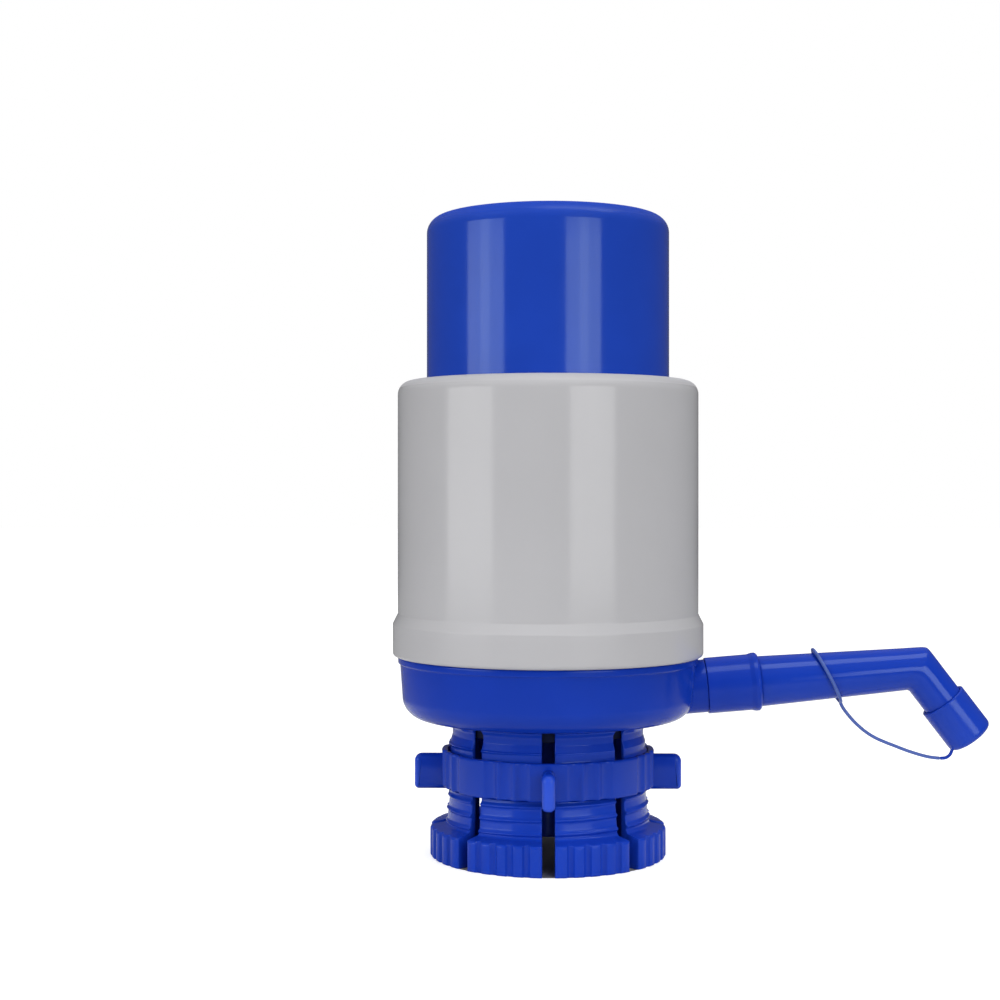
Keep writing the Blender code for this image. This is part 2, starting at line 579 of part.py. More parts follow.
def make_clamp_ring(parts):
    bore = BELLOWS_CREST_RADIUS + CLAMP_RING_GAP
    top = CLAMP_RING_Z + CLAMP_RING_THICKNESS
    profile = [(bore, top), (BELLOWS_FOOT_RADIUS, top), (BELLOWS_FOOT_RADIUS, CLAMP_RING_Z),
               (bore, CLAMP_RING_Z)]
    ring = turned("bellows_clamp_ring", profile, MEDIUM_STEPS, parts)
    plastic(ring, INNER_WHITE, 0.4)


def make_valve(name, plate_foot, plate_thickness, parts):
    """A rubber mushroom under its plate; its knob above the plate stops it after the lift."""
    knob_foot = plate_thickness + VALVE_LIFT + TOUCH_GAP
    disc_top = -TOUCH_GAP
    profile = [(0.0, knob_foot + VALVE_KNOB_HEIGHT),
               (VALVE_KNOB_RADIUS, knob_foot + VALVE_KNOB_HEIGHT / 2.0),
               (VALVE_KNOB_RADIUS, knob_foot), (VALVE_STEM_RADIUS, knob_foot),
               (VALVE_STEM_RADIUS, disc_top), (VALVE_DISC_RADIUS, disc_top),
               (VALVE_DISC_RADIUS, disc_top - VALVE_DISC_EDGE),
               (VALVE_KNOB_RADIUS, disc_top - VALVE_DISC_THICKNESS),
               (0.0, disc_top - VALVE_DISC_THICKNESS)]
    valve = turned(name, profile, SMALL_STEPS, parts)
    valve.location = (0.0, 0.0, plate_foot)
    plastic(valve, DARK_RUBBER, 0.5)


def make_base_bowl(parts, cutters):
    fillet_centre = BOWL_LOW_RADIUS - BOWL_FILLET
    shelf_top = VALVE_PLATE_Z - TOUCH_GAP
    shelf_foot = shelf_top - SHELF_HEIGHT
    profile = [(0.0, BOWL_FLOOR_Z)]
    profile += [(BOWL_INNER_RADIUS - BOWL_FILLET, BOWL_FLOOR_Z),
                (BOWL_INNER_RADIUS, BOWL_LOW_Z),
                (BOWL_INNER_RADIUS, shelf_foot - SHELF_WIDTH),
                (SHELF_INNER_RADIUS, shelf_foot), (SHELF_INNER_RADIUS, shelf_top),
                (UPSTAND_INNER_RADIUS, shelf_top), (UPSTAND_INNER_RADIUS, UPSTAND_TOP_Z),
                (UPSTAND_RADIUS, UPSTAND_TOP_Z),
                (UPSTAND_RADIUS, SNAP_Z + SNAP_WIDTH / 2.0), (UPSTAND_RADIUS + SNAP_DEPTH, SNAP_Z),
                (UPSTAND_RADIUS, SNAP_Z - SNAP_WIDTH / 2.0), (UPSTAND_RADIUS, RIM_TOP_Z),
                (RIM_RADIUS, RIM_TOP_Z), (RIM_RADIUS, RIM_TOP_Z - RIM_HEIGHT),
                (BOWL_TOP_RADIUS, RIM_TOP_Z - RIM_HEIGHT)]
    profile += arc(fillet_centre, BOWL_LOW_Z, BOWL_FILLET, 0.0, -BOWL_FILLET_SWEEP, ARC_STEPS)
    profile += [(BOWL_NECK_RADIUS, BOWL_UNDERSIDE_Z), (0.0, BOWL_UNDERSIDE_Z)]
    bowl = turned("base_bowl", profile, LARGE_STEPS, parts)
    middle = ((0.0, 0.0),)
    hub = rods("hub", HUB_RADIUS, BOWL_UNDERSIDE_Z + BOWL_FLOOR / 2.0, HUB_TOP_Z, middle,
               SMALL_STEPS, cutters)
    combine(bowl, "UNION", hub)
    to_axis = BOSS_END_X / math.cos(SPOUT_RISE)
    boss_profile = [(0.0, NOZZLE_LENGTH), (NOZZLE_RADIUS, NOZZLE_LENGTH), (NOZZLE_RADIUS, 0.0),
                    (BOSS_RADIUS, 0.0), (BOSS_RADIUS, -BOSS_RADIUS), (DUCT_RADIUS, -BOSS_RADIUS),
                    (DUCT_RADIUS, -to_axis), (0.0, -to_axis)]
    boss = turned("boss_and_duct", boss_profile, MEDIUM_STEPS, cutters)
    put(boss, spout_point(0.0), math.pi / 2.0 - SPOUT_RISE)
    combine(bowl, "UNION", boss)
    stub_socket = rods("stub_socket", STUB_BORE_RADIUS, BOWL_UNDERSIDE_Z - OVERRUN,
                       STUB_TOP_Z + TOUCH_GAP, middle, SMALL_STEPS, cutters)
    combine(bowl, "DIFFERENCE", stub_socket)
    riser = rods("riser", WATER_BORE_RADIUS, STUB_TOP_Z, DUCT_START_Z + WATER_BORE_RADIUS, middle,
                 SMALL_STEPS, cutters)
    combine(bowl, "DIFFERENCE", riser)
    water_way = rods("water_way", WATER_BORE_RADIUS, OVERRUN - to_axis, NOZZLE_LENGTH + OVERRUN,
                     middle, SMALL_STEPS, cutters)
    put(water_way, spout_point(0.0), math.pi / 2.0 - SPOUT_RISE)
    combine(bowl, "DIFFERENCE", water_way)
    places = around(VENT_CIRCLE, evenly(VENT_COUNT, math.pi / VENT_COUNT))
    vents = rods("vents", VENT_RADIUS, BOWL_UNDERSIDE_Z - OVERRUN, BOWL_FLOOR_Z + OVERRUN, places,
                 HOLE_STEPS, cutters)
    combine(bowl, "DIFFERENCE", vents)
    plastic(bowl, BLUE, 0.25)


def make_dip_tube_socket(parts):
    flange_foot = STUB_FLANGE_TOP_Z - STUB_FLANGE_THICKNESS
    profile = [(WATER_BORE_RADIUS, STUB_TOP_Z), (STUB_SPIGOT_RADIUS, STUB_TOP_Z),
               (STUB_SPIGOT_RADIUS, STUB_FLANGE_TOP_Z), (STUB_FLANGE_RADIUS, STUB_FLANGE_TOP_Z),
               (STUB_FLANGE_RADIUS, flange_foot), (STUB_RADIUS, flange_foot),
               (STUB_RADIUS, STUB_TIP_Z + STUB_TIP_CHAMFER),
               (STUB_RADIUS - STUB_TIP_CHAMFER, STUB_TIP_Z), (TUBE_SOCKET_RADIUS, STUB_TIP_Z),
               (TUBE_SOCKET_RADIUS, TUBE_SOCKET_TOP_Z), (WATER_BORE_RADIUS, TUBE_SOCKET_TOP_Z)]
    stub = turned("dip_tube_socket", profile, SMALL_STEPS, parts)
    plastic(stub, DEEP_BLUE, 0.3)


def make_neck_gasket(parts):
    foot = GASKET_TOP_Z - GASKET_THICKNESS
    profile = [(GASKET_INNER_RADIUS, GASKET_TOP_Z), (GASKET_RADIUS, GASKET_TOP_Z),
               (GASKET_RADIUS, foot), (GASKET_INNER_RADIUS, foot)]
    gasket = turned("neck_gasket", profile, MEDIUM_STEPS, parts)
    plastic(gasket, DARK_RUBBER, 0.6)


def make_collet_blank(cutters):
    """The whole collet before its slots are cut: flared root, tapered wall and scalloped foot."""
    profile = [(FINGER_TOP_RADIUS, FINGER_TOP_Z),
               (FINGER_ROOT_RADIUS, FINGER_TOP_Z - FINGER_TOP_FLARE_HEIGHT),
               (FINGER_ROOT_RADIUS, FINGER_ROOT_Z), (FINGER_WALL_RADIUS, FINGER_WALL_TOP_Z),
               (FINGER_WALL_RADIUS, TAPER_TOP_Z), (TAPER_FOOT_RADIUS, TAPER_FOOT_Z),
               (FOOT_SHOULDER_RADIUS, FOOT_HEIGHT), (FOOT_RADIUS - FOOT_CHAMFER, FOOT_HEIGHT),
               (FOOT_RADIUS, FOOT_HEIGHT - FOOT_CHAMFER), (FOOT_RADIUS, FOOT_CHAMFER),
               (FOOT_RADIUS - FOOT_CHAMFER, 0.0), (NECK_BORE_RADIUS + FOOT_CHAMFER, 0.0),
               (NECK_BORE_RADIUS, FOOT_CHAMFER), (NECK_BORE_RADIUS, FINGER_TOP_Z)]
    blank = turned("collet_blank", profile, LARGE_STEPS, cutters)
    scallop_circle = FOOT_RADIUS + SCALLOP_RADIUS - SCALLOP_DEPTH
    angles = []
    for middle in evenly(FINGER_COUNT, FINGER_PITCH / 2.0):
        for number in range(SCALLOPS_PER_FINGER):
            angles.append(middle + SCALLOP_PITCH * (number - (SCALLOPS_PER_FINGER - 1) / 2.0))
    scallops = rods("scallops", SCALLOP_RADIUS, -OVERRUN, FOOT_HEIGHT + OVERRUN,
                    around(scallop_circle, angles), SCALLOP_STEPS, cutters)
    combine(blank, "DIFFERENCE", scallops)
    blank.hide_render = True
    blank.display_type = "WIRE"
    return blank


def make_fingers(parts, cutters):
    """Each finger is the wedge between two slots, cut to the collet's shape; it bends at its root."""
    blank = make_collet_blank(cutters)
    half = FINGER_PITCH / 2.0
    reach = FOOT_RADIUS + FOOT_CHAMFER + OVERRUN
    side = Vector((math.cos(half), math.sin(half))) * reach
    side += Vector((math.sin(half), -math.cos(half))) * SLOT_WIDTH / 2.0
    apex = SLOT_WIDTH / 2.0 / math.sin(half)
    outline = [(apex, 0.0), (side.x, -side.y), (reach / math.cos(half), 0.0), (side.x, side.y)]
    local_outline = [(across - FINGER_HINGE_RADIUS, along) for across, along in outline]
    wedge = plate("clamp_finger_1", local_outline, 2.0 * (FINGER_TOP_Z + OVERRUN), parts)
    for number in range(FINGER_COUNT):
        finger = wedge
        if number > 0:
            finger = bpy.data.objects.new("clamp_finger_%d" % (number + 1), wedge.data.copy())
            parts.objects.link(finger)
        angle = -math.pi / 2.0 + FINGER_PITCH * (number + 0.5)
        hinge = (FINGER_HINGE_RADIUS * math.cos(angle), FINGER_HINGE_RADIUS * math.sin(angle),
                 FINGER_TOP_Z)
        finger.matrix_world = Matrix.Translation(hinge) @ Matrix.Rotation(angle, 4, "Z")
        combine(finger, "INTERSECT", blank)
        plastic(finger, BLUE, 0.25)


def make_lock_ring(parts, cutters):
    half = LOCK_RING_HEIGHT / 2.0
    profile = [(LOCK_RING_BORE_RADIUS, half), (LOCK_RING_RADIUS - LOCK_RING_CHAMFER, half),
               (LOCK_RING_RADIUS, half - LOCK_RING_CHAMFER),
               (LOCK_RING_RADIUS, LOCK_RING_CHAMFER - half),
               (LOCK_RING_RADIUS - LOCK_RING_CHAMFER, -half), (LOCK_RING_BORE_RADIUS, -half)]
    ring = turned("lock_ring", profile, LARGE_STEPS, parts)
    middle_z = LOCK_RING_Z + half
    ring.location = (0.0, 0.0, middle_z)
    angles = []
    for wing in evenly(WING_COUNT):
        for number in range(FLUTES_PER_SIDE):
            angles.append(wing + FLUTE_START + FLUTE_PITCH * number)
            angles.append(wing - FLUTE_START - FLUTE_PITCH * number)
    places = around(LOCK_RING_RADIUS + FLUTE_ROUND - FLUTE_DEPTH, angles)
    flutes = bmesh.new()
    for (place_x, place_y), angle in zip(places, angles):
        middle = Matrix.Translation((place_x, place_y, middle_z)) @ Matrix.Rotation(angle, 4, "Z")
        bmesh.ops.create_cone(flutes, cap_ends=True, segments=FLUTE_STEPS, radius1=FLUTE_ROUND,
                              radius2=FLUTE_ROUND, depth=LOCK_RING_HEIGHT + 2.0 * OVERRUN, matrix=middle)
        mesh = bpy.data.meshes.new("flute")
        flutes.to_mesh(mesh)
        flutes.clear()
        flute = bpy.data.objects.new("flute", mesh)
        cutters.objects.link(flute)
        combine(ring, "DIFFERENCE", flute)
    flutes.free()
    foot = -half - WING_DROP
    top = foot + WING_HEIGHT
    root = (LOCK_RING_BORE_RADIUS + LOCK_RING_RADIUS) / 2.0
    outline = [(root, foot)]
    outline += arc(WING_TIP_RADIUS - WING_FOOT_FILLET, foot + WING_FOOT_FILLET, WING_FOOT_FILLET,
                   -math.pi / 2.0, 0.0, 2)
    outline += arc(WING_TIP_RADIUS - WING_TOP_FILLET, top - WING_TOP_FILLET, WING_TOP_FILLET,
                   0.0, math.pi / 2.0, 3)
    outline += [(root, top)]
    for number, angle in enumerate(evenly(WING_COUNT)):
        wing = plate("wing_%d" % (number + 1), outline, WING_THICKNESS, cutters)
        upright = Matrix.Rotation(math.pi / 2.0, 4, "X")
        turn = Matrix.Rotation(angle, 4, "Z")
        wing.matrix_world = Matrix.Translation((0.0, 0.0, middle_z)) @ turn @ upright
        edges = wing.modifiers.new("rounded_edges", "BEVEL")
        edges.width = WING_EDGE_ROUND
        edges.segments = 1
        edges.limit_method = "ANGLE"
        edges.angle_limit = SHARP_ANGLE
        combine(ring, "UNION", wing)
    plastic(ring, DEEP_BLUE, 0.25)


def make_spout_coupling(parts):
    inner_end = NOZZLE_LENGTH + TOUCH_GAP
    bead = COUPLING_RADIUS + COUPLING_BEAD
    bead_round = COUPLING_BEAD_WIDTH / 2.0
    nozzle_bore = NOZZLE_RADIUS + TOUCH_GAP
    profile = [(COUPLING_BORE_RADIUS + COUPLING_MOUTH_CHAMFER, COUPLING_END)]
    profile += arc(bead - bead_round, COUPLING_END - bead_round, bead_round, math.pi / 2.0,
                   -math.pi / 6.0, ARC_STEPS)
    profile += [(COUPLING_RADIUS, COUPLING_END - COUPLING_BEAD_WIDTH),
                (COUPLING_RADIUS, COUPLING_START + COUPLING_MOUTH_CHAMFER),
                (COUPLING_RADIUS - COUPLING_MOUTH_CHAMFER, COUPLING_START),
                (nozzle_bore, COUPLING_START), (nozzle_bore, inner_end),
                (COUPLING_BORE_RADIUS, inner_end),
                (COUPLING_BORE_RADIUS, COUPLING_END - COUPLING_MOUTH_CHAMFER)]
    coupling = turned("spout_coupling", profile, MEDIUM_STEPS, parts)
    put(coupling, spout_point(0.0), math.pi / 2.0 - SPOUT_RISE)
    plastic(coupling, BLUE, 0.25)


def make_spout_o_ring(parts):
    profile = arc(GROOVE_RADIUS + TOUCH_GAP + O_RING_ROUND, 0.0, O_RING_ROUND, math.pi,
                  -math.pi, O_RING_SIDES)[:-1]
    o_ring = turned("spout_o_ring", profile, SMALL_STEPS, parts)
    put(o_ring, spout_point(GROOVE_START + GROOVE_WIDTH / 2.0), math.pi / 2.0 - SPOUT_RISE)
    plastic(o_ring, DARK_RUBBER, 0.5)


def make_spout_tube(parts, cutters):
    """Two turned lengths meet at a round elbow, and the water way is cut through both."""
    tilt = math.pi / 2.0 - SPOUT_RISE
    leg_tilt = math.pi / 2.0 + LEG_DROP
    elbow = spout_point(ELBOW_LENGTH)
    profile = arc(0.0, ELBOW_LENGTH, TUBE_ELBOW_RADIUS, math.pi / 2.0, 0.0, 5)
    profile[0] = (0.0, ELBOW_LENGTH + TUBE_ELBOW_RADIUS)
    profile += [(TUBE_ROOT_RADIUS, TUBE_START + TUBE_ROOT_CHAMFER),
                (TUBE_ROOT_RADIUS - TUBE_ROOT_CHAMFER, TUBE_START), (SPIGOT_RADIUS, TUBE_START),
                (SPIGOT_RADIUS, GROOVE_START + GROOVE_WIDTH), (GROOVE_RADIUS, GROOVE_START + GROOVE_WIDTH),
                (GROOVE_RADIUS, GROOVE_START), (SPIGOT_RADIUS, GROOVE_START),
                (SPIGOT_RADIUS, SPIGOT_START), (0.0, SPIGOT_START)]
    tube = turned("spout_tube", profile, MEDIUM_STEPS, parts)
    put(tube, spout_point(0.0), tilt)
    leg = turned("leg", [(0.0, LEG_LENGTH), (LEG_RADIUS, LEG_LENGTH), (LEG_RADIUS, 0.0), (0.0, 0.0)],
                 MEDIUM_STEPS, cutters)
    put(leg, elbow, leg_tilt)
    combine(tube, "UNION", leg)
    flare_start = TUBE_START + TUBE_ROOT_CHAMFER
    bore_profile = arc(0.0, ELBOW_LENGTH, TUBE_BORE_ELBOW_RADIUS, math.pi / 2.0, 0.0, 3)
    bore_profile[0] = (0.0, ELBOW_LENGTH + TUBE_BORE_ELBOW_RADIUS)
    bore_profile += [(TUBE_BORE_ROOT_RADIUS, flare_start + BORE_FLARE_LENGTH),
                     (WATER_BORE_RADIUS, flare_start), (WATER_BORE_RADIUS, SPIGOT_START - OVERRUN),
                     (0.0, SPIGOT_START - OVERRUN)]
    bore = turned("tube_bore", bore_profile, SMALL_STEPS, cutters)
    put(bore, spout_point(0.0), tilt)
    combine(tube, "DIFFERENCE", bore)
    leg_end = LEG_LENGTH + OVERRUN
    leg_bore = turned("leg_bore", [(0.0, leg_end), (TUBE_BORE_ELBOW_RADIUS, leg_end),
                                   (TUBE_BORE_ELBOW_RADIUS, 0.0), (0.0, 0.0)], SMALL_STEPS, cutters)
    put(leg_bore, elbow, leg_tilt)
    combine(tube, "DIFFERENCE", leg_bore)
    plastic(tube, BLUE, 0.25)


def smooth_route(points):
    """A finer route through the same points, curved by the points before and after each stretch."""
    last = len(points) - 1
    route = []
    for number in range(last):
        before, here = points[max(number - 1, 0)], points[number]
        ahead, after = points[number + 1], points[min(number + 2, last)]
        for step in range(TETHER_STEPS):
            share = step / TETHER_STEPS
            bend = (ahead - before) * share + (before * 2.0 - here * 5.0 + ahead * 4.0 - after) * share ** 2
            bend += (here * 3.0 - before - ahead * 3.0 + after) * share ** 3
            route.append(here + bend / 2.0)
    return route + [points[last]]


def tether_root_points():
    """The strap's root, from its free end round to the middle of the cap's end wall."""
    points = []
    for rise_share, reach_share in TETHER_ROOT_SHARES:
        along = LEG_TO_CAP_TIP - CAP_END_THICKNESS / 2.0 + TETHER_ROOT_RISE * rise_share
        points.append(leg_point(along) + leg_side() * (CAP_BORE_RADIUS + TETHER_ROOT_REACH * reach_share))
    return points


def make_spout_cap(parts, cutters):
    """A closed cup with the strap's moulded root on its edge; its own Z axis runs down the leg."""
    bottom = CAP_LENGTH - CAP_END_THICKNESS
    profile = [(0.0, CAP_LENGTH)]
    profile += arc(CAP_RADIUS - CAP_EDGE_FILLET, CAP_LENGTH - CAP_EDGE_FILLET, CAP_EDGE_FILLET,
                   math.pi / 2.0, 0.0, 3)
    profile += [(CAP_RADIUS, 0.0), (CAP_BORE_RADIUS, 0.0), (CAP_BORE_RADIUS, bottom), (0.0, bottom)]
    cap = turned("spout_cap", profile, MEDIUM_STEPS, parts)
    put(cap, leg_point(CAP_START), math.pi / 2.0 + LEG_DROP)
    root = strand("tether_root", smooth_route(tether_root_points()), TETHER_RADIUS, 1, False, cutters)
    combine(cap, "UNION", root)
    plastic(cap, BLUE, 0.25)


def tube_radius_at(distance):
    """The spout tube's outer radius at a distance along its axis from the end of the boss."""
    share = (distance - TUBE_START) / (ELBOW_LENGTH - TUBE_START)
    return TUBE_ROOT_RADIUS + (TUBE_ELBOW_RADIUS - TUBE_ROOT_RADIUS) * share


def make_cap_tether(parts, cutters):
    """A thin moulded strap: a slanted loop round the spout tube and a strand down to the cap."""
    elbow = spout_point(ELBOW_LENGTH)
    distance = ELBOW_LENGTH - (TETHER_LOOP_TOP + TETHER_LOOP_FOOT) / 2.0 / math.cos(SPOUT_RISE)
    clear = tube_radius_at(distance) + TOUCH_GAP + TETHER_RADIUS
    centre = spout_point(distance)
    lean = (TETHER_LOOP_TOP - TETHER_LOOP_FOOT) / 2.0
    fall = math.sqrt((clear / math.cos(math.atan2(lean, clear))) ** 2 - lean ** 2)
    down = Vector((lean, 0.0, -fall))
    loop_points = []
    for angle in evenly(TETHER_LOOP_POINTS):
        loop_points.append(centre + down * math.cos(angle) + Vector((0.0, clear * math.sin(angle), 0.0)))
    tether = strand("cap_tether", loop_points, TETHER_RADIUS, 2, True, parts)
    route = [centre + down]
    route += [elbow + Vector((step_x, 0.0, step_z)) for step_x, step_z in TETHER_ROUTE]
    root = tether_root_points()
    route.append(root[0] + (root[0] - root[1]).normalized() * TOUCH_GAP)
    hanging = strand("hanging_strand", smooth_route(route), TETHER_RADIUS, 2, False, cutters)
    combine(tether, "UNION", hanging)
    plastic(tether, BLUE, 0.3)


def main():
    clear_scene()
    parts = new_collection("water_jug_pump")
    cutters = new_collection("cutters")
    make_button(parts, cutters)
    make_top_plate(parts, cutters)
    make_valve("intake_valve", TOP_PLATE_Z, TOP_PLATE_THICKNESS, parts)
    make_bellows(parts)
    make_clamp_ring(parts)
    make_body_shell(parts)
    make_valve_plate(parts, cutters)
    make_valve("outlet_valve", VALVE_PLATE_Z, VALVE_PLATE_THICKNESS, parts)
    make_base_bowl(parts, cutters)
    make_dip_tube_socket(parts)
    make_neck_gasket(parts)
    make_fingers(parts, cutters)
    make_lock_ring(parts, cutters)
    make_spout_coupling(parts)
    make_spout_o_ring(parts)
    make_spout_tube(parts, cutters)
    make_spout_cap(parts, cutters)
    make_cap_tether(parts, cutters)


main()
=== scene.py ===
"""Hand pump for a large water bottle: blue button, white body, blue collet with its ring, bent spout.

Metres, +Z up, origin on the pump's axis in the plane of the collet's feet, spout along +X.
The sections follow the pump as it is put together, after the camera, the strap and the light.
"""

import math
from functools import partial

import bmesh
import bpy
from mathutils import Matrix, Quaternion, Vector


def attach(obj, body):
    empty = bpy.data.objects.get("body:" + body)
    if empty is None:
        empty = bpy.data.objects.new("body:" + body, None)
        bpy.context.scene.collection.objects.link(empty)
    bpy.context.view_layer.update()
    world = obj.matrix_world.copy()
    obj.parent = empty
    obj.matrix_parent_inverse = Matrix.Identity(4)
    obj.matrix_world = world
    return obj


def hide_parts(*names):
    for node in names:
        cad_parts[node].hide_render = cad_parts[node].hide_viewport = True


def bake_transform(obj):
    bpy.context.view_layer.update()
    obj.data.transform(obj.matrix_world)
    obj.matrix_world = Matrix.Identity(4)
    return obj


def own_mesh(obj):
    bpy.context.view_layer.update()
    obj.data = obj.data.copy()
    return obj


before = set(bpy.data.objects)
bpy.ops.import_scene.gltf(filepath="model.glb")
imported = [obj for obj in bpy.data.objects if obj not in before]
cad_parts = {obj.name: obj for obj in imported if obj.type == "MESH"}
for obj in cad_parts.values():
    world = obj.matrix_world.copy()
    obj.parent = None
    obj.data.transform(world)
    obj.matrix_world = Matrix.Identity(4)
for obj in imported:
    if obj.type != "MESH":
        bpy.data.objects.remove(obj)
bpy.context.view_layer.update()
scene = bpy.context.scene
scene.view_settings.view_transform = "Standard"

# Camera
# It stands level, half a metre in front of the pump and a little below the middle of its height,
# so that the button's top isn't seen and the collet's feet are seen slightly from above.
CAMERA_PLACE = (-0.0034, -0.5232, 0.110)
CAMERA_TURN = math.radians(1.2)
CAMERA_LENS = 62.65
CAMERA_SHIFT_Y = -0.0135
CAMERA_SENSOR = 36.0
CAMERA_NEAR = 0.01

view = bpy.data.cameras.new("camera")
view.lens = CAMERA_LENS
view.sensor_width = CAMERA_SENSOR
view.shift_y = CAMERA_SHIFT_Y
view.clip_start = CAMERA_NEAR
camera = bpy.data.objects.new("camera", view)
camera.location = CAMERA_PLACE
camera.rotation_euler = (math.pi / 2.0, 0.0, CAMERA_TURN)
scene.collection.objects.link(camera)
scene.camera = camera

# Strap
# A thin soft moulded strand that keeps the cap with the spout: a loop lies slanted round the tube,
# and a strand hangs from the loop's foot and runs to the cap's edge. It is blue like the cap.
STRAP_RADIUS = 0.0005
STRAP_SIDES = 12
SPOUT_RISE = math.radians(4.9)
BOSS_END = Vector((0.0474, 0.0, 0.05026))
LOOP_MIDDLE = 0.0362
LOOP_DOWN = Vector((0.00405, 0.0, -0.00779))
LOOP_SIDE = 0.00779
LOOP_POINTS = 64
STRAND_ROUTE = ((0.0875, 0.04556), (0.0885, 0.0435), (0.0914, 0.0399), (0.0947, 0.0369), (0.0978, 0.0349),
                (0.1009, 0.0335), (0.1040, 0.0323), (0.1071, 0.0311), (0.1108, 0.0299), (0.1140, 0.0291),
                (0.1174, 0.0287))
STRAND_STEPS = 4
ROUND_END = ((0.0, 0.0), (0.13, 0.5), (0.5, 0.87), (1.0, 1.0))
# Lighter than the cap's blue: the strap's colour is partly painted highlight, lifted for the light along
# the strand
STRAP_BLUE = (0.085, 0.140, 0.450)
# Edges and surface of every moulded piece
SHARP_EDGE = math.radians(38.0)
NOISE_BAND = (0.3, 0.7)
CLOUD_SCALE = 24.0
MATT_SCALE = 60.0
MATT_SPREAD = 2.5
SCUFF_SCALE = 420.0
SCUFF_STRETCH = (1.0, 1.0, 0.04)
SCUFF_BAND = (0.55, 0.78)
GRAIN_SCALE = 1500.0
SATIN_SCALE = 3500.0
BUMP_STRENGTH = 0.5
BUMP_DISTANCE = 0.00008
SEAM_CREST = 0.00002
SEAM_EDGE = 0.00016
SATIN_ROUGHNESS = 0.45
SATIN_GRAIN = 0.25
SATIN_DULLING = 0.8
PLASTIC_IOR = 1.5
BLUE_CAST = 3.0
BLUE_SHEEN = (0.70, 0.90, 1.0, 1.0)


def new_piece(name, shape):
    """Turns a bmesh into a smooth shaded object of the scene, with its steep edges crisp."""
    mesh = bpy.data.meshes.new(name)
    shape.to_mesh(mesh)
    shape.free()
    mesh.shade_smooth()
    mesh.set_sharp_from_angle(angle=SHARP_EDGE)
    piece = bpy.data.objects.new(name, mesh)
    scene.collection.objects.link(piece)
    return piece


def ringed(name, rings, sides, across=(0.0, 1.0, 0.0), closed=False):
    """A skin over rings of (middle, direction, radius); a radius of 0.0 is a pole, and a function of
    the turn gives how far a ring reaches sideways and upwards."""
    shape = bmesh.new()
    loops = []
    for middle, direction, radius in rings:
        ahead = Vector(direction).normalized()
        first = (Vector(across) - ahead * ahead.dot(Vector(across))).normalized()
        second = ahead.cross(first)
        if not callable(radius) and radius == 0.0:
            loops.append([shape.verts.new(Vector(middle))])
            continue
        loop = []
        for side in range(sides):
            turn = 2.0 * math.pi * side / sides
            if callable(radius):
                reach = radius(turn)
            else:
                reach = (radius * math.cos(turn), radius * math.sin(turn))
            loop.append(shape.verts.new(Vector(middle) + first * reach[0] + second * reach[1]))
        loops.append(loop)
    pairs = list(zip(loops, loops[1:]))
    if closed:
        pairs.append((loops[-1], loops[0]))
    for low, high in pairs:
        for side in range(sides):
            ahead = (side + 1) % sides
            corners = [low[side % len(low)], low[ahead % len(low)], high[ahead % len(high)],
                       high[side % len(high)]]
            shape.faces.new(list(dict.fromkeys(corners)))
    bmesh.ops.recalc_face_normals(shape, faces=shape.faces)
    return new_piece(name, shape)


def curved_route(points, steps):
    """A finer route through the same points, curved by the points before and after each stretch."""
    last = len(points) - 1
    route = []
    for number in range(last):
        before, here = points[max(number - 1, 0)], points[number]
        ahead, after = points[number + 1], points[min(number + 2, last)]
        for step in range(steps):
            share = step / steps
            bend = (ahead - before) * share + (before * 2.0 - here * 5.0 + ahead * 4.0 - after) * share ** 2
            bend += (here * 3.0 - before - ahead * 3.0 + after) * share ** 3
            route.append(here + bend / 2.0)
    return route + [points[last]]


def strand_rings(route, radius):
    """Rings along a route, with a rounded end at each side."""
    rings = []
    last = len(route) - 1
    for number, place in enumerate(route):
        ahead = (route[min(number + 1, last)] - route[max(number - 1, 0)]).normalized()
        if number == 0:
            for back, swell in ROUND_END:
                rings.append((place + ahead * radius * back, ahead, radius * swell))
        elif number == last:
            for back, swell in reversed(ROUND_END):
                rings.append((place - ahead * radius * back, ahead, radius * swell))
        else:
            rings.append((place, ahead, radius))
    return rings


def sum_of(tree, operation, *values):
    """A Math node on numbers or sockets of a tree."""
    node = tree.nodes.new("ShaderNodeMath")
    node.operation = operation
    for slot, value in zip(node.inputs, values):
        if isinstance(value, bpy.types.NodeSocket):
            tree.links.new(value, slot)
        else:
            slot.default_value = value
    return node.outputs[0]


def eased_between(tree, value, low, high, low_value, high_value):
    """A soft step from one value to another between two marks."""
    node = tree.nodes.new("ShaderNodeMapRange")
    node.interpolation_type = "SMOOTHSTEP"
    marks = (low, high, low_value, high_value)
    for slot, number in zip(("From Min", "From Max", "To Min", "To Max"), marks):
        node.inputs[slot].default_value = number
    tree.links.new(value, node.inputs["Value"])
    return node.outputs["Result"]


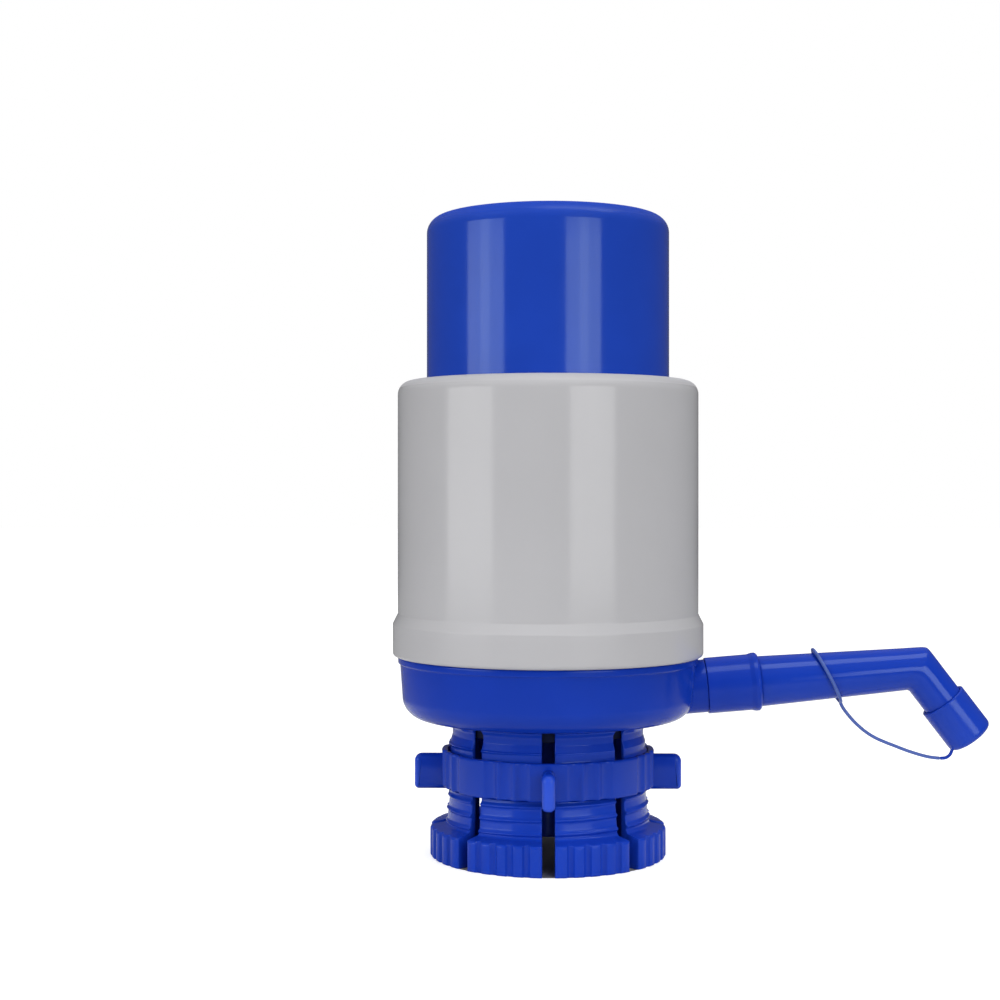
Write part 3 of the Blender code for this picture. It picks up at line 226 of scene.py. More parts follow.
def moulded(name, colour, roughness, tone=0.06, peel=0.05, streaks=0.04, seam=None, shine=0.36, painted_highlight=None,
            satin=None):
    """Moulded plastic: cloudy tone, faint orange peel and fine scuffs along Z; seam=axis adds the
    parting line of the mould where that coordinate is 0, and a painted highlight of (from, to, colour)
    lightens the colour between two distances from the pump's axis. satin=(from, to)
    gives the heights between which a fine satin grain fades in."""
    material = bpy.data.materials.new(name)
    material.use_nodes = True
    tree = material.node_tree
    add = tree.nodes.new
    link = tree.links.new
    maths = partial(sum_of, tree)
    ranged = partial(eased_between, tree)
    shader = tree.nodes["Principled BSDF"]
    place = add("ShaderNodeTexCoord").outputs["Object"]

    def noise(scale, detail, stretch=None):
        source = place
        if stretch:
            mapping = add("ShaderNodeMapping")
            mapping.inputs["Scale"].default_value = stretch
            link(place, mapping.inputs["Vector"])
            source = mapping.outputs["Vector"]
        node = add("ShaderNodeTexNoise")
        node.inputs["Scale"].default_value = scale
        node.inputs["Detail"].default_value = detail
        link(source, node.inputs["Vector"])
        return node.outputs["Fac"]

    clouds = ranged(noise(CLOUD_SCALE, 3.0), *NOISE_BAND, 0.0, 1.0)
    colours = add("ShaderNodeMix")
    colours.data_type = "RGBA"
    colours.inputs["A"].default_value = (*[part * (1.0 - tone) for part in colour], 1.0)
    colours.inputs["B"].default_value = (*[min(1.0, part * (1.0 + tone)) for part in colour], 1.0)
    link(clouds, colours.inputs["Factor"])
    base = colours.outputs["Result"]
    # Painted highlight: a lighter colour is mixed in between two distances from the pump's axis
    if painted_highlight:
        flat = add("ShaderNodeVectorMath")
        flat.operation = "MULTIPLY"
        flat.inputs[1].default_value = (1.0, 1.0, 0.0)
        link(place, flat.inputs[0])
        reach = add("ShaderNodeVectorMath")
        reach.operation = "LENGTH"
        link(flat.outputs[0], reach.inputs[0])
        lighter = add("ShaderNodeMix")
        lighter.data_type = "RGBA"
        lighter.inputs["B"].default_value = (*painted_highlight[2], 1.0)
        link(ranged(reach.outputs["Value"], painted_highlight[0], painted_highlight[1], 0.0, 1.0), lighter.inputs["Factor"])
        link(base, lighter.inputs["A"])
        base = lighter.outputs["Result"]
    link(base, shader.inputs["Base Color"])
    scuffs = ranged(noise(SCUFF_SCALE, 4.0, SCUFF_STRETCH), *SCUFF_BAND, 0.0, streaks)
    spread = MATT_SPREAD * tone * roughness
    matt = ranged(noise(MATT_SCALE, 4.0), *NOISE_BAND, roughness - spread, roughness + spread)
    matt = maths("ADD", matt, scuffs)
    grain = maths("MULTIPLY", noise(GRAIN_SCALE, 2.0), peel)
    axes = add("ShaderNodeSeparateXYZ")
    link(place, axes.inputs["Vector"])
    if satin:
        share = ranged(axes.outputs["Z"], *satin, 0.0, 1.0)
        matt = maths("ADD", matt, maths("MULTIPLY", share, SATIN_ROUGHNESS))
        fine = maths("MULTIPLY", noise(SATIN_SCALE, 1.0), share)
        grain = maths("ADD", grain, maths("MULTIPLY", fine, SATIN_GRAIN))
        dulled = maths("MULTIPLY_ADD", share, -SATIN_DULLING * shine, shine)
        link(dulled, shader.inputs["Specular IOR Level"])
    link(matt, shader.inputs["Roughness"])
    if seam:
        ridge = ranged(maths("ABSOLUTE", axes.outputs[seam]), SEAM_CREST, SEAM_EDGE, 1.0, 0.0)
        grain = maths("ADD", grain, ridge)
    bump = add("ShaderNodeBump")
    bump.inputs["Strength"].default_value = BUMP_STRENGTH
    bump.inputs["Distance"].default_value = BUMP_DISTANCE
    link(grain, bump.inputs["Height"])
    link(bump.outputs["Normal"], shader.inputs["Normal"])
    shader.inputs["IOR"].default_value = PLASTIC_IOR
    shader.inputs["Specular IOR Level"].default_value = shine
    if colour[2] > BLUE_CAST * colour[1]:
        shader.inputs["Specular Tint"].default_value = BLUE_SHEEN
    return material


def dress(piece, material):
    piece.data.materials.clear()
    piece.data.materials.append(material)


spout_ahead = Vector((math.cos(SPOUT_RISE), 0.0, math.sin(SPOUT_RISE)))
loop_centre = BOSS_END + spout_ahead * LOOP_MIDDLE
loop_route = []
for number in range(LOOP_POINTS):
    turn = 2.0 * math.pi * number / LOOP_POINTS
    aside = Vector((0.0, LOOP_SIDE * math.sin(turn), 0.0))
    loop_route.append(loop_centre + LOOP_DOWN * math.cos(turn) + aside)
loop_rings = []
for number, place in enumerate(loop_route):
    ahead = loop_route[(number + 1) % LOOP_POINTS] - loop_route[number - 1]
    loop_rings.append((place, ahead, STRAP_RADIUS))
strap_blue = moulded("soft_blue_strap", STRAP_BLUE, 0.38, tone=0.08, peel=0.2, streaks=0.0)
strap_loop = ringed("strap_loop", loop_rings, STRAP_SIDES, spout_ahead, closed=True)
dress(strap_loop, strap_blue)
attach(strap_loop, "spout")
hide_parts("cap_tether")

strand_route = curved_route([Vector((x, 0.0, z)) for x, z in STRAND_ROUTE], STRAND_STEPS)
strap_strand = ringed("strap_strand", strand_rings(strand_route, STRAP_RADIUS), STRAP_SIDES)
dress(strap_strand, strap_blue)
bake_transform(strap_strand)
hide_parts("cap_tether")

# Floor, world and lamps
# A pale studio floor that the camera sees as white but for the pump's shadow, and that is painted darker
# inside the collet's feet as painted shade; a dim grey room that is lighter overhead, two soft boxes with
# brighter cores whose reflections stand as bands on the button, and one overhead that draws the line along
# the spout. The other five boxes fill in and aren't mirrored.
FLOOR_HALF = 4.0
FLOOR_TONE_NEAR = 0.72
FLOOR_TONE_FAR = 0.22
FLOOR_TONE_FROM = 0.15
FLOOR_TONE_TO = 0.36
FLOOR_GLOW_NEAR = 0.60
FLOOR_GLOW_FAR = 1.0
FLOOR_GLOW_FROM = 0.13
FLOOR_GLOW_TO = 0.33
# Inside this radius, under the collet's feet, the floor has no glow and its tone drops to the share below:
# painted shade for the pump's hollow
COLLET_INSIDE = 0.0345
PAINTED_SHADE_SHARE = 0.35
ROOM_FROM = 0.15
ROOM_TO = 0.9
ROOM_LOW = 0.10
ROOM_HIGH = 0.42
ROOM_TINT = (1.0, 1.0, 1.03, 1.0)
# Azimuth from the camera's side in degrees, distance along the floor, height, aimed height, width, length,
# turn about the aim in degrees, radiance, and whether glossy pieces mirror it
SOFT_BOXES = ((-60.3, 1.2, 0.19, 0.19, 0.84, 0.38, 0.0, 3.15, True),
              (-60.0, 1.18, 0.29, 0.29, 0.20, 0.17, 0.0, 1.3, True),
              (-60.3, 1.2, 0.81, 0.81, 0.84, 0.86, 0.0, 2.75, False),
              (32.7, 1.2, 0.19, 0.19, 0.72, 0.38, 0.0, 3.25, True),
              (33.0, 1.18, 0.29, 0.29, 0.18, 0.17, 0.0, 1.2, True),
              (32.7, 1.2, 0.81, 0.81, 0.72, 0.86, 0.0, 2.35, False),
              (52.0, 0.50, 1.35, 0.10, 0.60, 1.2, 52.0, 2.5, True),
              (61.0, 0.62, 1.35, 0.10, 0.95, 1.3, 61.0, 0.6, False),
              (180.0, 1.00, 0.80, 0.10, 1.3, 0.80, 0.0, 2.2, False),
              (0.0, 0.60, 0.06, 0.02, 0.80, 0.10, 0.0, 0.8, False))


def camera_ray_only(tree):
    return tree.nodes.new("ShaderNodeLightPath").outputs["Is Camera Ray"]


sheet = bmesh.new()
bmesh.ops.create_grid(sheet, x_segments=2, y_segments=2, size=FLOOR_HALF)
floor = new_piece("floor", sheet)
paper = bpy.data.materials.new("white_paper")
paper.use_nodes = True
paper_tree = paper.node_tree
paper_add = paper_tree.nodes.new
paper_link = paper_tree.links.new
paper_tree.nodes.clear()
matt_paper = paper_add("ShaderNodeBsdfDiffuse")
glow = paper_add("ShaderNodeEmission")
from_axis = paper_add("ShaderNodeVectorMath")
from_axis.operation = "LENGTH"
paper_link(paper_add("ShaderNodeTexCoord").outputs["Object"], from_axis.inputs[0])
axis_distance = from_axis.outputs["Value"]
outside = sum_of(paper_tree, "GREATER_THAN", axis_distance, COLLET_INSIDE)
paper_tone = eased_between(paper_tree, axis_distance, FLOOR_TONE_FROM, FLOOR_TONE_TO, FLOOR_TONE_NEAR,
                           FLOOR_TONE_FAR)
# Painted shade: inside the collet the floor's tone is cut to a share of its own, for the shadow in the
# hollow
shaded = sum_of(paper_tree, "MULTIPLY_ADD", outside, 1.0 - PAINTED_SHADE_SHARE, PAINTED_SHADE_SHARE)
paper_link(sum_of(paper_tree, "MULTIPLY", paper_tone, shaded), matt_paper.inputs["Color"])
glow_level = eased_between(paper_tree, axis_distance, FLOOR_GLOW_FROM, FLOOR_GLOW_TO, FLOOR_GLOW_NEAR,
                           FLOOR_GLOW_FAR)
glow_level = sum_of(paper_tree, "MULTIPLY", glow_level, outside)
glow_level = sum_of(paper_tree, "MULTIPLY", glow_level, camera_ray_only(paper_tree))
paper_link(glow_level, glow.inputs["Strength"])
both = paper_add("ShaderNodeAddShader")
paper_link(matt_paper.outputs[0], both.inputs[0])
paper_link(glow.outputs[0], both.inputs[1])
paper_out = paper_add("ShaderNodeOutputMaterial")
paper_link(both.outputs[0], paper_out.inputs["Surface"])
dress(floor, paper)

room = bpy.data.worlds.new("room")
scene.world = room
room.use_nodes = True
room_tree = room.node_tree
room_link = room_tree.links.new
room_light = room_tree.nodes["Background"]
room_light.inputs["Color"].default_value = ROOM_TINT
towards = room_tree.nodes.new("ShaderNodeSeparateXYZ")
room_link(room_tree.nodes.new("ShaderNodeTexCoord").outputs["Generated"], towards.inputs[0])
room_link(eased_between(room_tree, towards.outputs["Z"], ROOM_FROM, ROOM_TO, ROOM_LOW, ROOM_HIGH),
          room_light.inputs["Strength"])
room_white = room_tree.nodes.new("ShaderNodeBackground")
room_white.inputs["Color"].default_value = (1.0, 1.0, 1.0, 1.0)
room_mix = room_tree.nodes.new("ShaderNodeMixShader")
room_link(camera_ray_only(room_tree), room_mix.inputs["Fac"])
room_link(room_light.outputs[0], room_mix.inputs[1])
room_link(room_white.outputs[0], room_mix.inputs[2])
room_link(room_mix.outputs[0], room_tree.nodes["World Output"].inputs["Surface"])

for number, row in enumerate(SOFT_BOXES):
    degrees, distance, middle_z, aim_z, width, length, turn, radiance, mirrored = row
    azimuth = math.radians(degrees)
    lamp = bpy.data.lights.new("soft_box_%d" % (number + 1), "AREA")
    lamp.shape = "RECTANGLE"
    lamp.size = width
    lamp.size_y = length
    lamp.energy = radiance * math.pi * width * length
    box = bpy.data.objects.new(lamp.name, lamp)
    place = Vector((distance * math.sin(azimuth), -distance * math.cos(azimuth), middle_z))
    box.location = place
    aimed = (Vector((0.0, 0.0, aim_z)) - place).to_track_quat("-Z", "Y")
    box.rotation_euler = (aimed @ Quaternion((0.0, 0.0, 1.0), math.radians(turn))).to_euler()
    box.visible_camera = False
    box.visible_glossy = mirrored
    scene.collection.objects.link(box)

# Button
# A deep cup of glossy blue plastic with a satin top that the palm presses down. It is moulded in one,
# with a flange that keeps it in the body and four ribs under its top that hold the bellows' plate.
BUTTON_RADIUS = 0.0363
BUTTON_TOP_Z = 0.1907
BUTTON_SIDES = 192
RIB_COUNT = 4
RIB_SIZE = (0.0256, 0.0018, 0.0064)
RIB_MIDDLE = (0.0218, 0.0, 0.1857)
FINE_BEND = 0.0005
WIDE_BEND = 0.002
BEND_SHARE = 0.48
GUARD = 0.0005
GUARD_SHARE = 0.6


def rounded(corners):
    """Rounds the corners (radius, height, rounding) of a profile and keeps the flats between them flat."""
    profile = []
    last = len(corners)
    for number, (radius, height, *rounding) in enumerate(corners):
        here = Vector((radius, height))
        if not rounding:
            profile.append((radius, height))
            continue
        before = Vector(corners[number - 1][:2]) - here
        after = Vector(corners[(number + 1) % last][:2]) - here
        to_before = before.normalized()
        to_after = after.normalized()
        half = before.angle(after) / 2.0
        reach = min(rounding[0] / math.tan(half), BEND_SHARE * before.length, BEND_SHARE * after.length)
        bend = reach * math.tan(half)
        centre = here + (to_before + to_after).normalized() * bend / math.sin(half)
        start = here + to_before * reach - centre
        end = here + to_after * reach - centre
        first = math.atan2(start.y, start.x)
        sweep = (math.atan2(end.y, end.x) - first + math.pi) % (2.0 * math.pi) - math.pi
        steps = 3 if bend < FINE_BEND else 6 if bend < WIDE_BEND else 12
        spare = min(0.5 * before.length - reach, GUARD)
        profile.append(tuple(here + to_before * (reach + GUARD_SHARE * spare)))
        for step in range(steps + 1):
            angle = first + sweep * step / steps
            profile.append((centre.x + bend * math.cos(angle), centre.y + bend * math.sin(angle)))
        spare = min(0.5 * after.length - reach, GUARD)
        profile.append(tuple(here + to_after * (reach + GUARD_SHARE * spare)))
    return profile


def turned(name, corners, sides, place=(0.0, 0.0, 0.0), tilt=0.0):
    """Turns a profile of rounded corners about its own Z axis, put at a place and tilted towards +X."""
    closed = corners[0][0] > 0.0
    stand = Matrix.Translation(place) @ Matrix.Rotation(tilt, 4, "Y")
    upright = stand.to_3x3() @ Vector((0.0, 0.0, 1.0))
    rings = []
    for radius, height in rounded(corners):
        rings.append((stand @ Vector((0.0, 0.0, height)), upright, radius))
    return ringed(name, rings, sides, closed=closed)


def joined(name, pieces):
    """Puts several objects' meshes together as one new piece."""
    shape = bmesh.new()
    for piece in pieces:
        shape.from_mesh(piece.data)
        bpy.data.objects.remove(piece, do_unlink=True)
    return new_piece(name, shape)


def new_tree(name, sizes):
    """A Geometry Nodes tree with a geometry socket, one named number for each size and a material."""
    tree = bpy.data.node_groups.new(name, "GeometryNodeTree")
    tree.is_modifier = True
    tree.interface.new_socket("Geometry", in_out="OUTPUT", socket_type="NodeSocketGeometry")
    for label, kind in (("Geometry", "Geometry"), *[(size, "Float") for size in sizes],
                        ("Material", "Material")):
        tree.interface.new_socket(label, in_out="INPUT", socket_type="NodeSocket" + kind)
    return tree, tree.nodes.new("NodeGroupInput")


def finish_tree(tree, given, geometry):
    """Ends a tree in Realize Instances and Set Material."""
    realize = tree.nodes.new("GeometryNodeRealizeInstances")
    tree.links.new(geometry, realize.inputs["Geometry"])
    paint = tree.nodes.new("GeometryNodeSetMaterial")
    tree.links.new(realize.outputs["Geometry"], paint.inputs["Geometry"])
    tree.links.new(given.outputs["Material"], paint.inputs["Material"])
    out = tree.nodes.new("NodeGroupOutput")
    tree.links.new(paint.outputs["Geometry"], out.inputs["Geometry"])


def settled(piece, modifier, sharp):
    """Keeps what a modifier makes of a piece as its plain mesh; edges steeper than sharp stay crisp."""
    bpy.context.view_layer.update()
    evaluated = piece.evaluated_get(bpy.context.evaluated_depsgraph_get())
    mesh = bpy.data.meshes.new_from_object(evaluated)
    piece.modifiers.remove(modifier)
    piece.data = mesh
    mesh.shade_smooth()
    mesh.set_sharp_from_angle(angle=sharp)


def grown(piece, tree, material, sizes):
    """Runs a tree on a piece with its sizes given, and keeps the result as a plain mesh."""
    modifier = piece.modifiers.new(tree.name, "NODES")
    modifier.node_group = tree
    for socket in tree.interface.items_tree:
        if socket.name in sizes:
            modifier[socket.identifier] = float(sizes[socket.name])
        if socket.name == "Material":
            modifier[socket.identifier] = material
    settled(piece, modifier, SHARP_EDGE)
    dress(piece, material)
    return piece


# Copies of a piece set evenly round the pump's axis
ring_tree, ring_given = new_tree("copies_round_the_axis", ("Count", "Start"))
ring_link = ring_tree.links.new
spots = ring_tree.nodes.new("GeometryNodePoints")
ring_link(ring_given.outputs["Count"], spots.inputs["Count"])
turn_step = sum_of(ring_tree, "DIVIDE", 2.0 * math.pi, ring_given.outputs["Count"])
ring_index = ring_tree.nodes.new("GeometryNodeInputIndex").outputs[0]
ring_turn = sum_of(ring_tree, "MULTIPLY_ADD", ring_index, turn_step, ring_given.outputs["Start"])
ring_euler = ring_tree.nodes.new("ShaderNodeCombineXYZ")
ring_link(ring_turn, ring_euler.inputs["Z"])
set_round = ring_tree.nodes.new("GeometryNodeInstanceOnPoints")
ring_link(spots.outputs[0], set_round.inputs["Points"])
ring_link(ring_given.outputs["Geometry"], set_round.inputs["Instance"])
ring_link(ring_euler.outputs[0], set_round.inputs["Rotation"])
finish_tree(ring_tree, ring_given, set_round.outputs["Instances"])

button_blue = moulded("glossy_blue_button", (0.0125, 0.055, 0.438), 0.12,
                      satin=(BUTTON_TOP_Z - 0.0040, BUTTON_TOP_Z - 0.0006))
button_cup = turned("button_cup", [
    (0.0, BUTTON_TOP_Z), (BUTTON_RADIUS, BUTTON_TOP_Z, 0.0050), (BUTTON_RADIUS, 0.1390, 0.0003),
    (0.0420, 0.1390, 0.0004), (0.0420, 0.1365, 0.0003), (0.0341, 0.1365, 0.0003),
    (0.0341, 0.1885, 0.0026), (0.0, 0.1885)], BUTTON_SIDES)
rib = bmesh.new()
rib_place = Matrix.Translation(RIB_MIDDLE) @ Matrix.Diagonal((*RIB_SIZE, 1.0))
bmesh.ops.create_cube(rib, size=1.0, matrix=rib_place)
button_ribs = grown(new_piece("button_ribs", rib), ring_tree, button_blue,
                    {"Count": RIB_COUNT, "Start": math.pi / RIB_COUNT})
press_button = joined("press_button", [button_cup, button_ribs])
dress(press_button, button_blue)
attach(press_button, "button")
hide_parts("button_cap")

# Body
# A round sleeve of satin white plastic with a soft shoulder, a thicker band at its foot and a snap
# groove inside the band. It is pushed over the bowl's upstand until the groove catches.
BODY_RADIUS = 0.0450
BAND_RADIUS = 0.0465
BODY_SIDES = 192
BODY_TOP_Z = 0.1415

body_white = moulded("satin_white_body", (0.486, 0.484, 0.498), 0.15, tone=0.015, peel=0.08, streaks=0.02,
                     satin=(BODY_TOP_Z - 0.0030, BODY_TOP_Z - 0.0004))
body_sleeve = turned("body_sleeve", [
    (0.0366, BODY_TOP_Z, 0.0004), (BODY_RADIUS, BODY_TOP_Z, 0.0055), (BODY_RADIUS, 0.0721, 0.0008),
    (BAND_RADIUS, 0.0691, 0.0008), (BAND_RADIUS, 0.0595, 0.0011), (0.0428, 0.0595, 0.0003),
    (0.0428, 0.0634), (0.0432, 0.0642), (0.0428, 0.0650), (0.0428, 0.1393, 0.0008),
    (0.0366, 0.1393, 0.0003)], BODY_SIDES)
dress(body_sleeve, body_white)
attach(body_sleeve, "base")
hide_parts("body_shell")

# Bowl
# The blue base under the body: a thin rim, a round bowl, an upstand inside the body, and inside it
# the hub and duct that take the water to the spout's boss. Six vents let the air down to the bottle.
BOWL_SIDES = 160
BOWL_FILLET = 0.0065
BOWL_FILLET_CENTRE = (0.0371, 0.0475)
BOWL_FILLET_STEPS = 14
BOWL_FILLET_TURN = math.radians(75.0)
FITTING_SIDES = 48
HUB_RADIUS = 0.0085
HUB_TOP_Z = 0.0535
WATER_BORE_RADIUS = 0.0040
WATER_BORE_SIDES = 40
BOSS_TO_AXIS = 0.0474 / math.cos(SPOUT_RISE)
VENT_COUNT = 6
VENT_RADIUS = 0.0018
VENT_MIDDLE = (0.0140, 0.0, 0.0)
VENT_SIDES = 24
CARVED_EDGE = math.radians(32.0)


def carved(piece, operation, tool):
    """Adds or cuts one closed mesh with another, at once, and removes the tool."""
    step = piece.modifiers.new(tool.name, "BOOLEAN")
    step.operation = operation
    step.solver = "EXACT"
    step.object = tool
    settled(piece, step, CARVED_EDGE)
    bpy.data.objects.remove(tool, do_unlink=True)


spout_tilt = math.pi / 2.0 - SPOUT_RISE
bowl_profile = [(0.0, 0.0425), (0.0347, 0.0425, 0.0010), (0.0412, 0.0475, 0.0030), (0.0412, 0.0557, 0.0005),
                (0.0390, 0.0574, 0.0003), (0.0390, 0.0594, 0.0003), (0.0407, 0.0594, 0.0002),
                (0.0407, 0.0660, 0.0004), (0.0425, 0.0660, 0.0004), (0.0425, 0.0650), (0.0429, 0.0642),
                (0.0425, 0.0634), (0.0425, 0.0594, 0.0002), (0.0449, 0.0594, 0.0004),
                (0.0449, 0.0574, 0.0004), (0.0443, 0.0574, 0.0002)]
for step in range(BOWL_FILLET_STEPS + 1):
    angle = -BOWL_FILLET_TURN * step / BOWL_FILLET_STEPS
    bowl_profile.append((BOWL_FILLET_CENTRE[0] + BOWL_FILLET * math.cos(angle),
                         BOWL_FILLET_CENTRE[1] + BOWL_FILLET * math.sin(angle)))
bowl_profile += [(0.0310, 0.0402, 0.0006), (0.0, 0.0402)]
bowl = turned("bowl", bowl_profile, BOWL_SIDES)
carved(bowl, "UNION", turned("hub", [(0.0, HUB_TOP_Z), (HUB_RADIUS, HUB_TOP_Z, 0.0006),
                                     (HUB_RADIUS, 0.0413), (0.0, 0.0413)], FITTING_SIDES))
carved(bowl, "UNION", turned("boss", [
    (0.0, 0.0060), (0.0059, 0.0060), (0.0059, 0.0), (0.0079, 0.0, 0.00015), (0.0079, -0.0079),
    (0.0062, -0.0079), (0.0062, -BOSS_TO_AXIS), (0.0, -BOSS_TO_AXIS)], FITTING_SIDES, BOSS_END, spout_tilt))
carved(bowl, "DIFFERENCE", turned("socket", [(0.0, 0.0432), (0.0060, 0.0432), (0.0060, 0.0390),
                                             (0.0, 0.0390)], FITTING_SIDES))
carved(bowl, "DIFFERENCE", turned("riser", [(0.0, 0.0502), (WATER_BORE_RADIUS, 0.0502),
                                            (WATER_BORE_RADIUS, 0.0420), (0.0, 0.0420)], WATER_BORE_SIDES))
carved(bowl, "DIFFERENCE", turned("water_way", [
    (0.0, 0.0070), (WATER_BORE_RADIUS, 0.0070), (WATER_BORE_RADIUS, 0.001 - BOSS_TO_AXIS),
    (0.0, 0.001 - BOSS_TO_AXIS)], WATER_BORE_SIDES, BOSS_END, spout_tilt))
bowl_blue = moulded("glossy_blue_bowl", (0.0050, 0.037, 0.400), 0.15, tone=0.07, shine=0.24)
vent = turned("vent", [(0.0, 0.0435), (VENT_RADIUS, 0.0435), (VENT_RADIUS, 0.0390), (0.0, 0.0390)],
              VENT_SIDES, VENT_MIDDLE)
vents = grown(vent, ring_tree, bowl_blue, {"Count": VENT_COUNT, "Start": math.pi / VENT_COUNT})
carved(bowl, "DIFFERENCE", vents)
dress(bowl, bowl_blue)
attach(bowl, "base")
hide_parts("base_bowl")

# Stub and gasket
# The dark blue stub that holds the dip tube is plugged into the hub from below, and a rubber gasket
# lies round it under the bowl, where it seals on the bottle's mouth.
STUB_SIDES = 64
GASKET_SIDES = 128

stub = turned("stub", [
    (0.0040, 0.0429, 0.0003), (0.0057, 0.0429, 0.0004), (0.0057, 0.0399), (0.0090, 0.0399, 0.0003),
    (0.0090, 0.0379, 0.0004), (0.0072, 0.0379, 0.0004), (0.0072, 0.0060, 0.0008), (0.0058, 0.0060, 0.0003),
    (0.0058, 0.0340, 0.0003), (0.0040, 0.0340, 0.0003)], STUB_SIDES)
dress(stub, moulded("dark_blue_stub", (0.010, 0.036, 0.335), 0.24))
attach(stub, "base")
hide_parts("dip_tube_socket")

gasket = turned("mouth_gasket", [(0.0200, 0.0399, 0.0004), (0.0275, 0.0399, 0.0004),
                                 (0.0275, 0.0369, 0.0004), (0.0200, 0.0369, 0.0004)],
                GASKET_SIDES)
dress(gasket, moulded("dark_grey_gasket", (0.005, 0.007, 0.030), 0.60, tone=0.15, peel=0.5, shine=0.1))
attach(gasket, "base")
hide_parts("neck_gasket")

# Collet
# Eight fingers of the bowl's own blue plastic grip the bottle's neck. A coarse right-hand thread
# with narrow round ridges runs across their outside, and their feet are notched into soft lobes.
FINGER_COUNT = 8
SLOT_WIDTH = 0.0037
EDGE_ROUND = 0.0004
THREAD_PITCH = 0.00385
THREAD_START = 0.0161
THREAD_DEPTH = 0.0006
THREAD_FOOT_Z = 0.0100
THREAD_TOP_Z = 0.0343
RIDGE_POWER = 11.0
FADE_FOOT = 0.0008
FADE_TOP = 0.0005
NOTCH_RADIUS = 0.0011
NOTCH_MIDDLE_RADIUS = 0.0353
LOBE_PITCH = math.radians(8.1)
LOBE_RADIUS = 0.0353
LOBE_CROWN = 0.0008
WALL_STEP = 0.00016
WALL_FOOT_Z = 0.0098
WALL_TOP_Z = 0.0345
WALL_RADIUS = 0.0285
OUTER_NOTCH = 1.5
OUTSIDE_RADIUS = 0.0284
OUTSIDE_FOOT_Z = 0.0001
INSIDE_RADIUS = 0.0279
INSIDE_FOOT_Z = 0.0005
INSIDE_TOP_Z = 0.0398

finger_profile = rounded([
    (0.0298, 0.0399, 0.0003), (0.0286, 0.0383, 0.0010), (0.0286, 0.0362, 0.0006), (0.0292, 0.0342, 0.0010),
    (0.0292, 0.0205, 0.0040), (0.0302, 0.0098, 0.0014), (LOBE_RADIUS, 0.0088, 0.0010),
    (LOBE_RADIUS, 0.0, 0.0006), (0.0278, 0.0, 0.0006), (0.0278, 0.0399, 0.0002)])


def finer(profile, step, low, high):
    """Splits the stretches of a closed profile between two heights into steps of a given length."""
    result = []
    for (radius, height), (next_radius, next_height) in zip(profile, profile[1:] + profile[:1]):
        result.append((radius, height))
        if radius > WALL_RADIUS and low < (height + next_height) / 2.0 < high:
            count = int(math.hypot(next_radius - radius, next_height - height) / step)
            for number in range(1, count + 1):
                share = number / (count + 1)
                result.append((radius + (next_radius - radius) * share,
                               height + (next_height - height) * share))
    return result


def skinned(shape, loops, closed=False):
    """Faces from each loop of points to the next, and over the two outer loops unless they meet."""
    pairs = list(zip(loops, loops[1:]))
    if closed:
        pairs.append((loops[-1], loops[0]))
    count = len(loops[0])
    for first, second in pairs:
        for number in range(count):
            following = (number + 1) % count
            shape.faces.new((first[number], second[number], second[following], first[following]))
    if not closed:
        shape.faces.new(loops[0])
        shape.faces.new(list(reversed(loops[-1])))


def slab(name, profile, columns, closed, side_of):
    """A closed profile of (radius, height) repeated along X, for a tree to bend round the axis."""
    shape = bmesh.new()
    side_layer = shape.verts.layers.float.new("side")
    loops = []
    for column in columns:
        loop = []
        for radius, height in profile:
            vertex = shape.verts.new((column, radius, height))
            vertex[side_layer] = side_of(radius, height)
            loop.append(vertex)
        loops.append(loop)
    skinned(shape, loops, closed)
    return new_piece(name, shape)


def slab_tree(name, sizes):
    """A tree that bends a slab: itself, its input node, its maths, and each point's column, radius,
    height and side, which is 1 on the outer side, -1 on the bore and 0 between."""
    tree, given = new_tree(name, sizes)
    parts = tree.nodes.new("ShaderNodeSeparateXYZ")
    tree.links.new(tree.nodes.new("GeometryNodeInputPosition").outputs[0], parts.inputs[0])
    side = tree.nodes.new("GeometryNodeInputNamedAttribute")
    side.data_type = "FLOAT"
    side.inputs["Name"].default_value = "side"
    return tree, given, partial(sum_of, tree), *parts.outputs, side.outputs["Attribute"]


def bent_round(tree, given, angle, radius, height):
    """Sets each point at its angle and radius round the pump's axis, and ends the tree."""
    calc = partial(sum_of, tree)
    place = tree.nodes.new("ShaderNodeCombineXYZ")
    tree.links.new(calc("MULTIPLY", radius, calc("COSINE", angle)), place.inputs["X"])
    tree.links.new(calc("MULTIPLY", radius, calc("SINE", angle)), place.inputs["Y"])
    tree.links.new(height, place.inputs["Z"])
    moved = tree.nodes.new("GeometryNodeSetPosition")
    tree.links.new(given.outputs["Geometry"], moved.inputs["Geometry"])
    tree.links.new(place.outputs[0], moved.inputs["Position"])
    finish_tree(tree, given, moved.outputs["Geometry"])


def scoop_depth(tree, distance, scoop_radius, scoop_middle, outer_radius):
    """How deep a round scoop cuts into an outer radius at a distance along it from its middle."""
    calc = partial(sum_of, tree)
    square = calc("SUBTRACT", calc("MULTIPLY", scoop_radius, scoop_radius),
                  calc("MULTIPLY", distance, distance))
    surface = calc("SUBTRACT", scoop_middle, calc("SQRT", calc("MAXIMUM", square, 0.0)))
    return calc("MAXIMUM", calc("SUBTRACT", outer_radius, surface), 0.0)


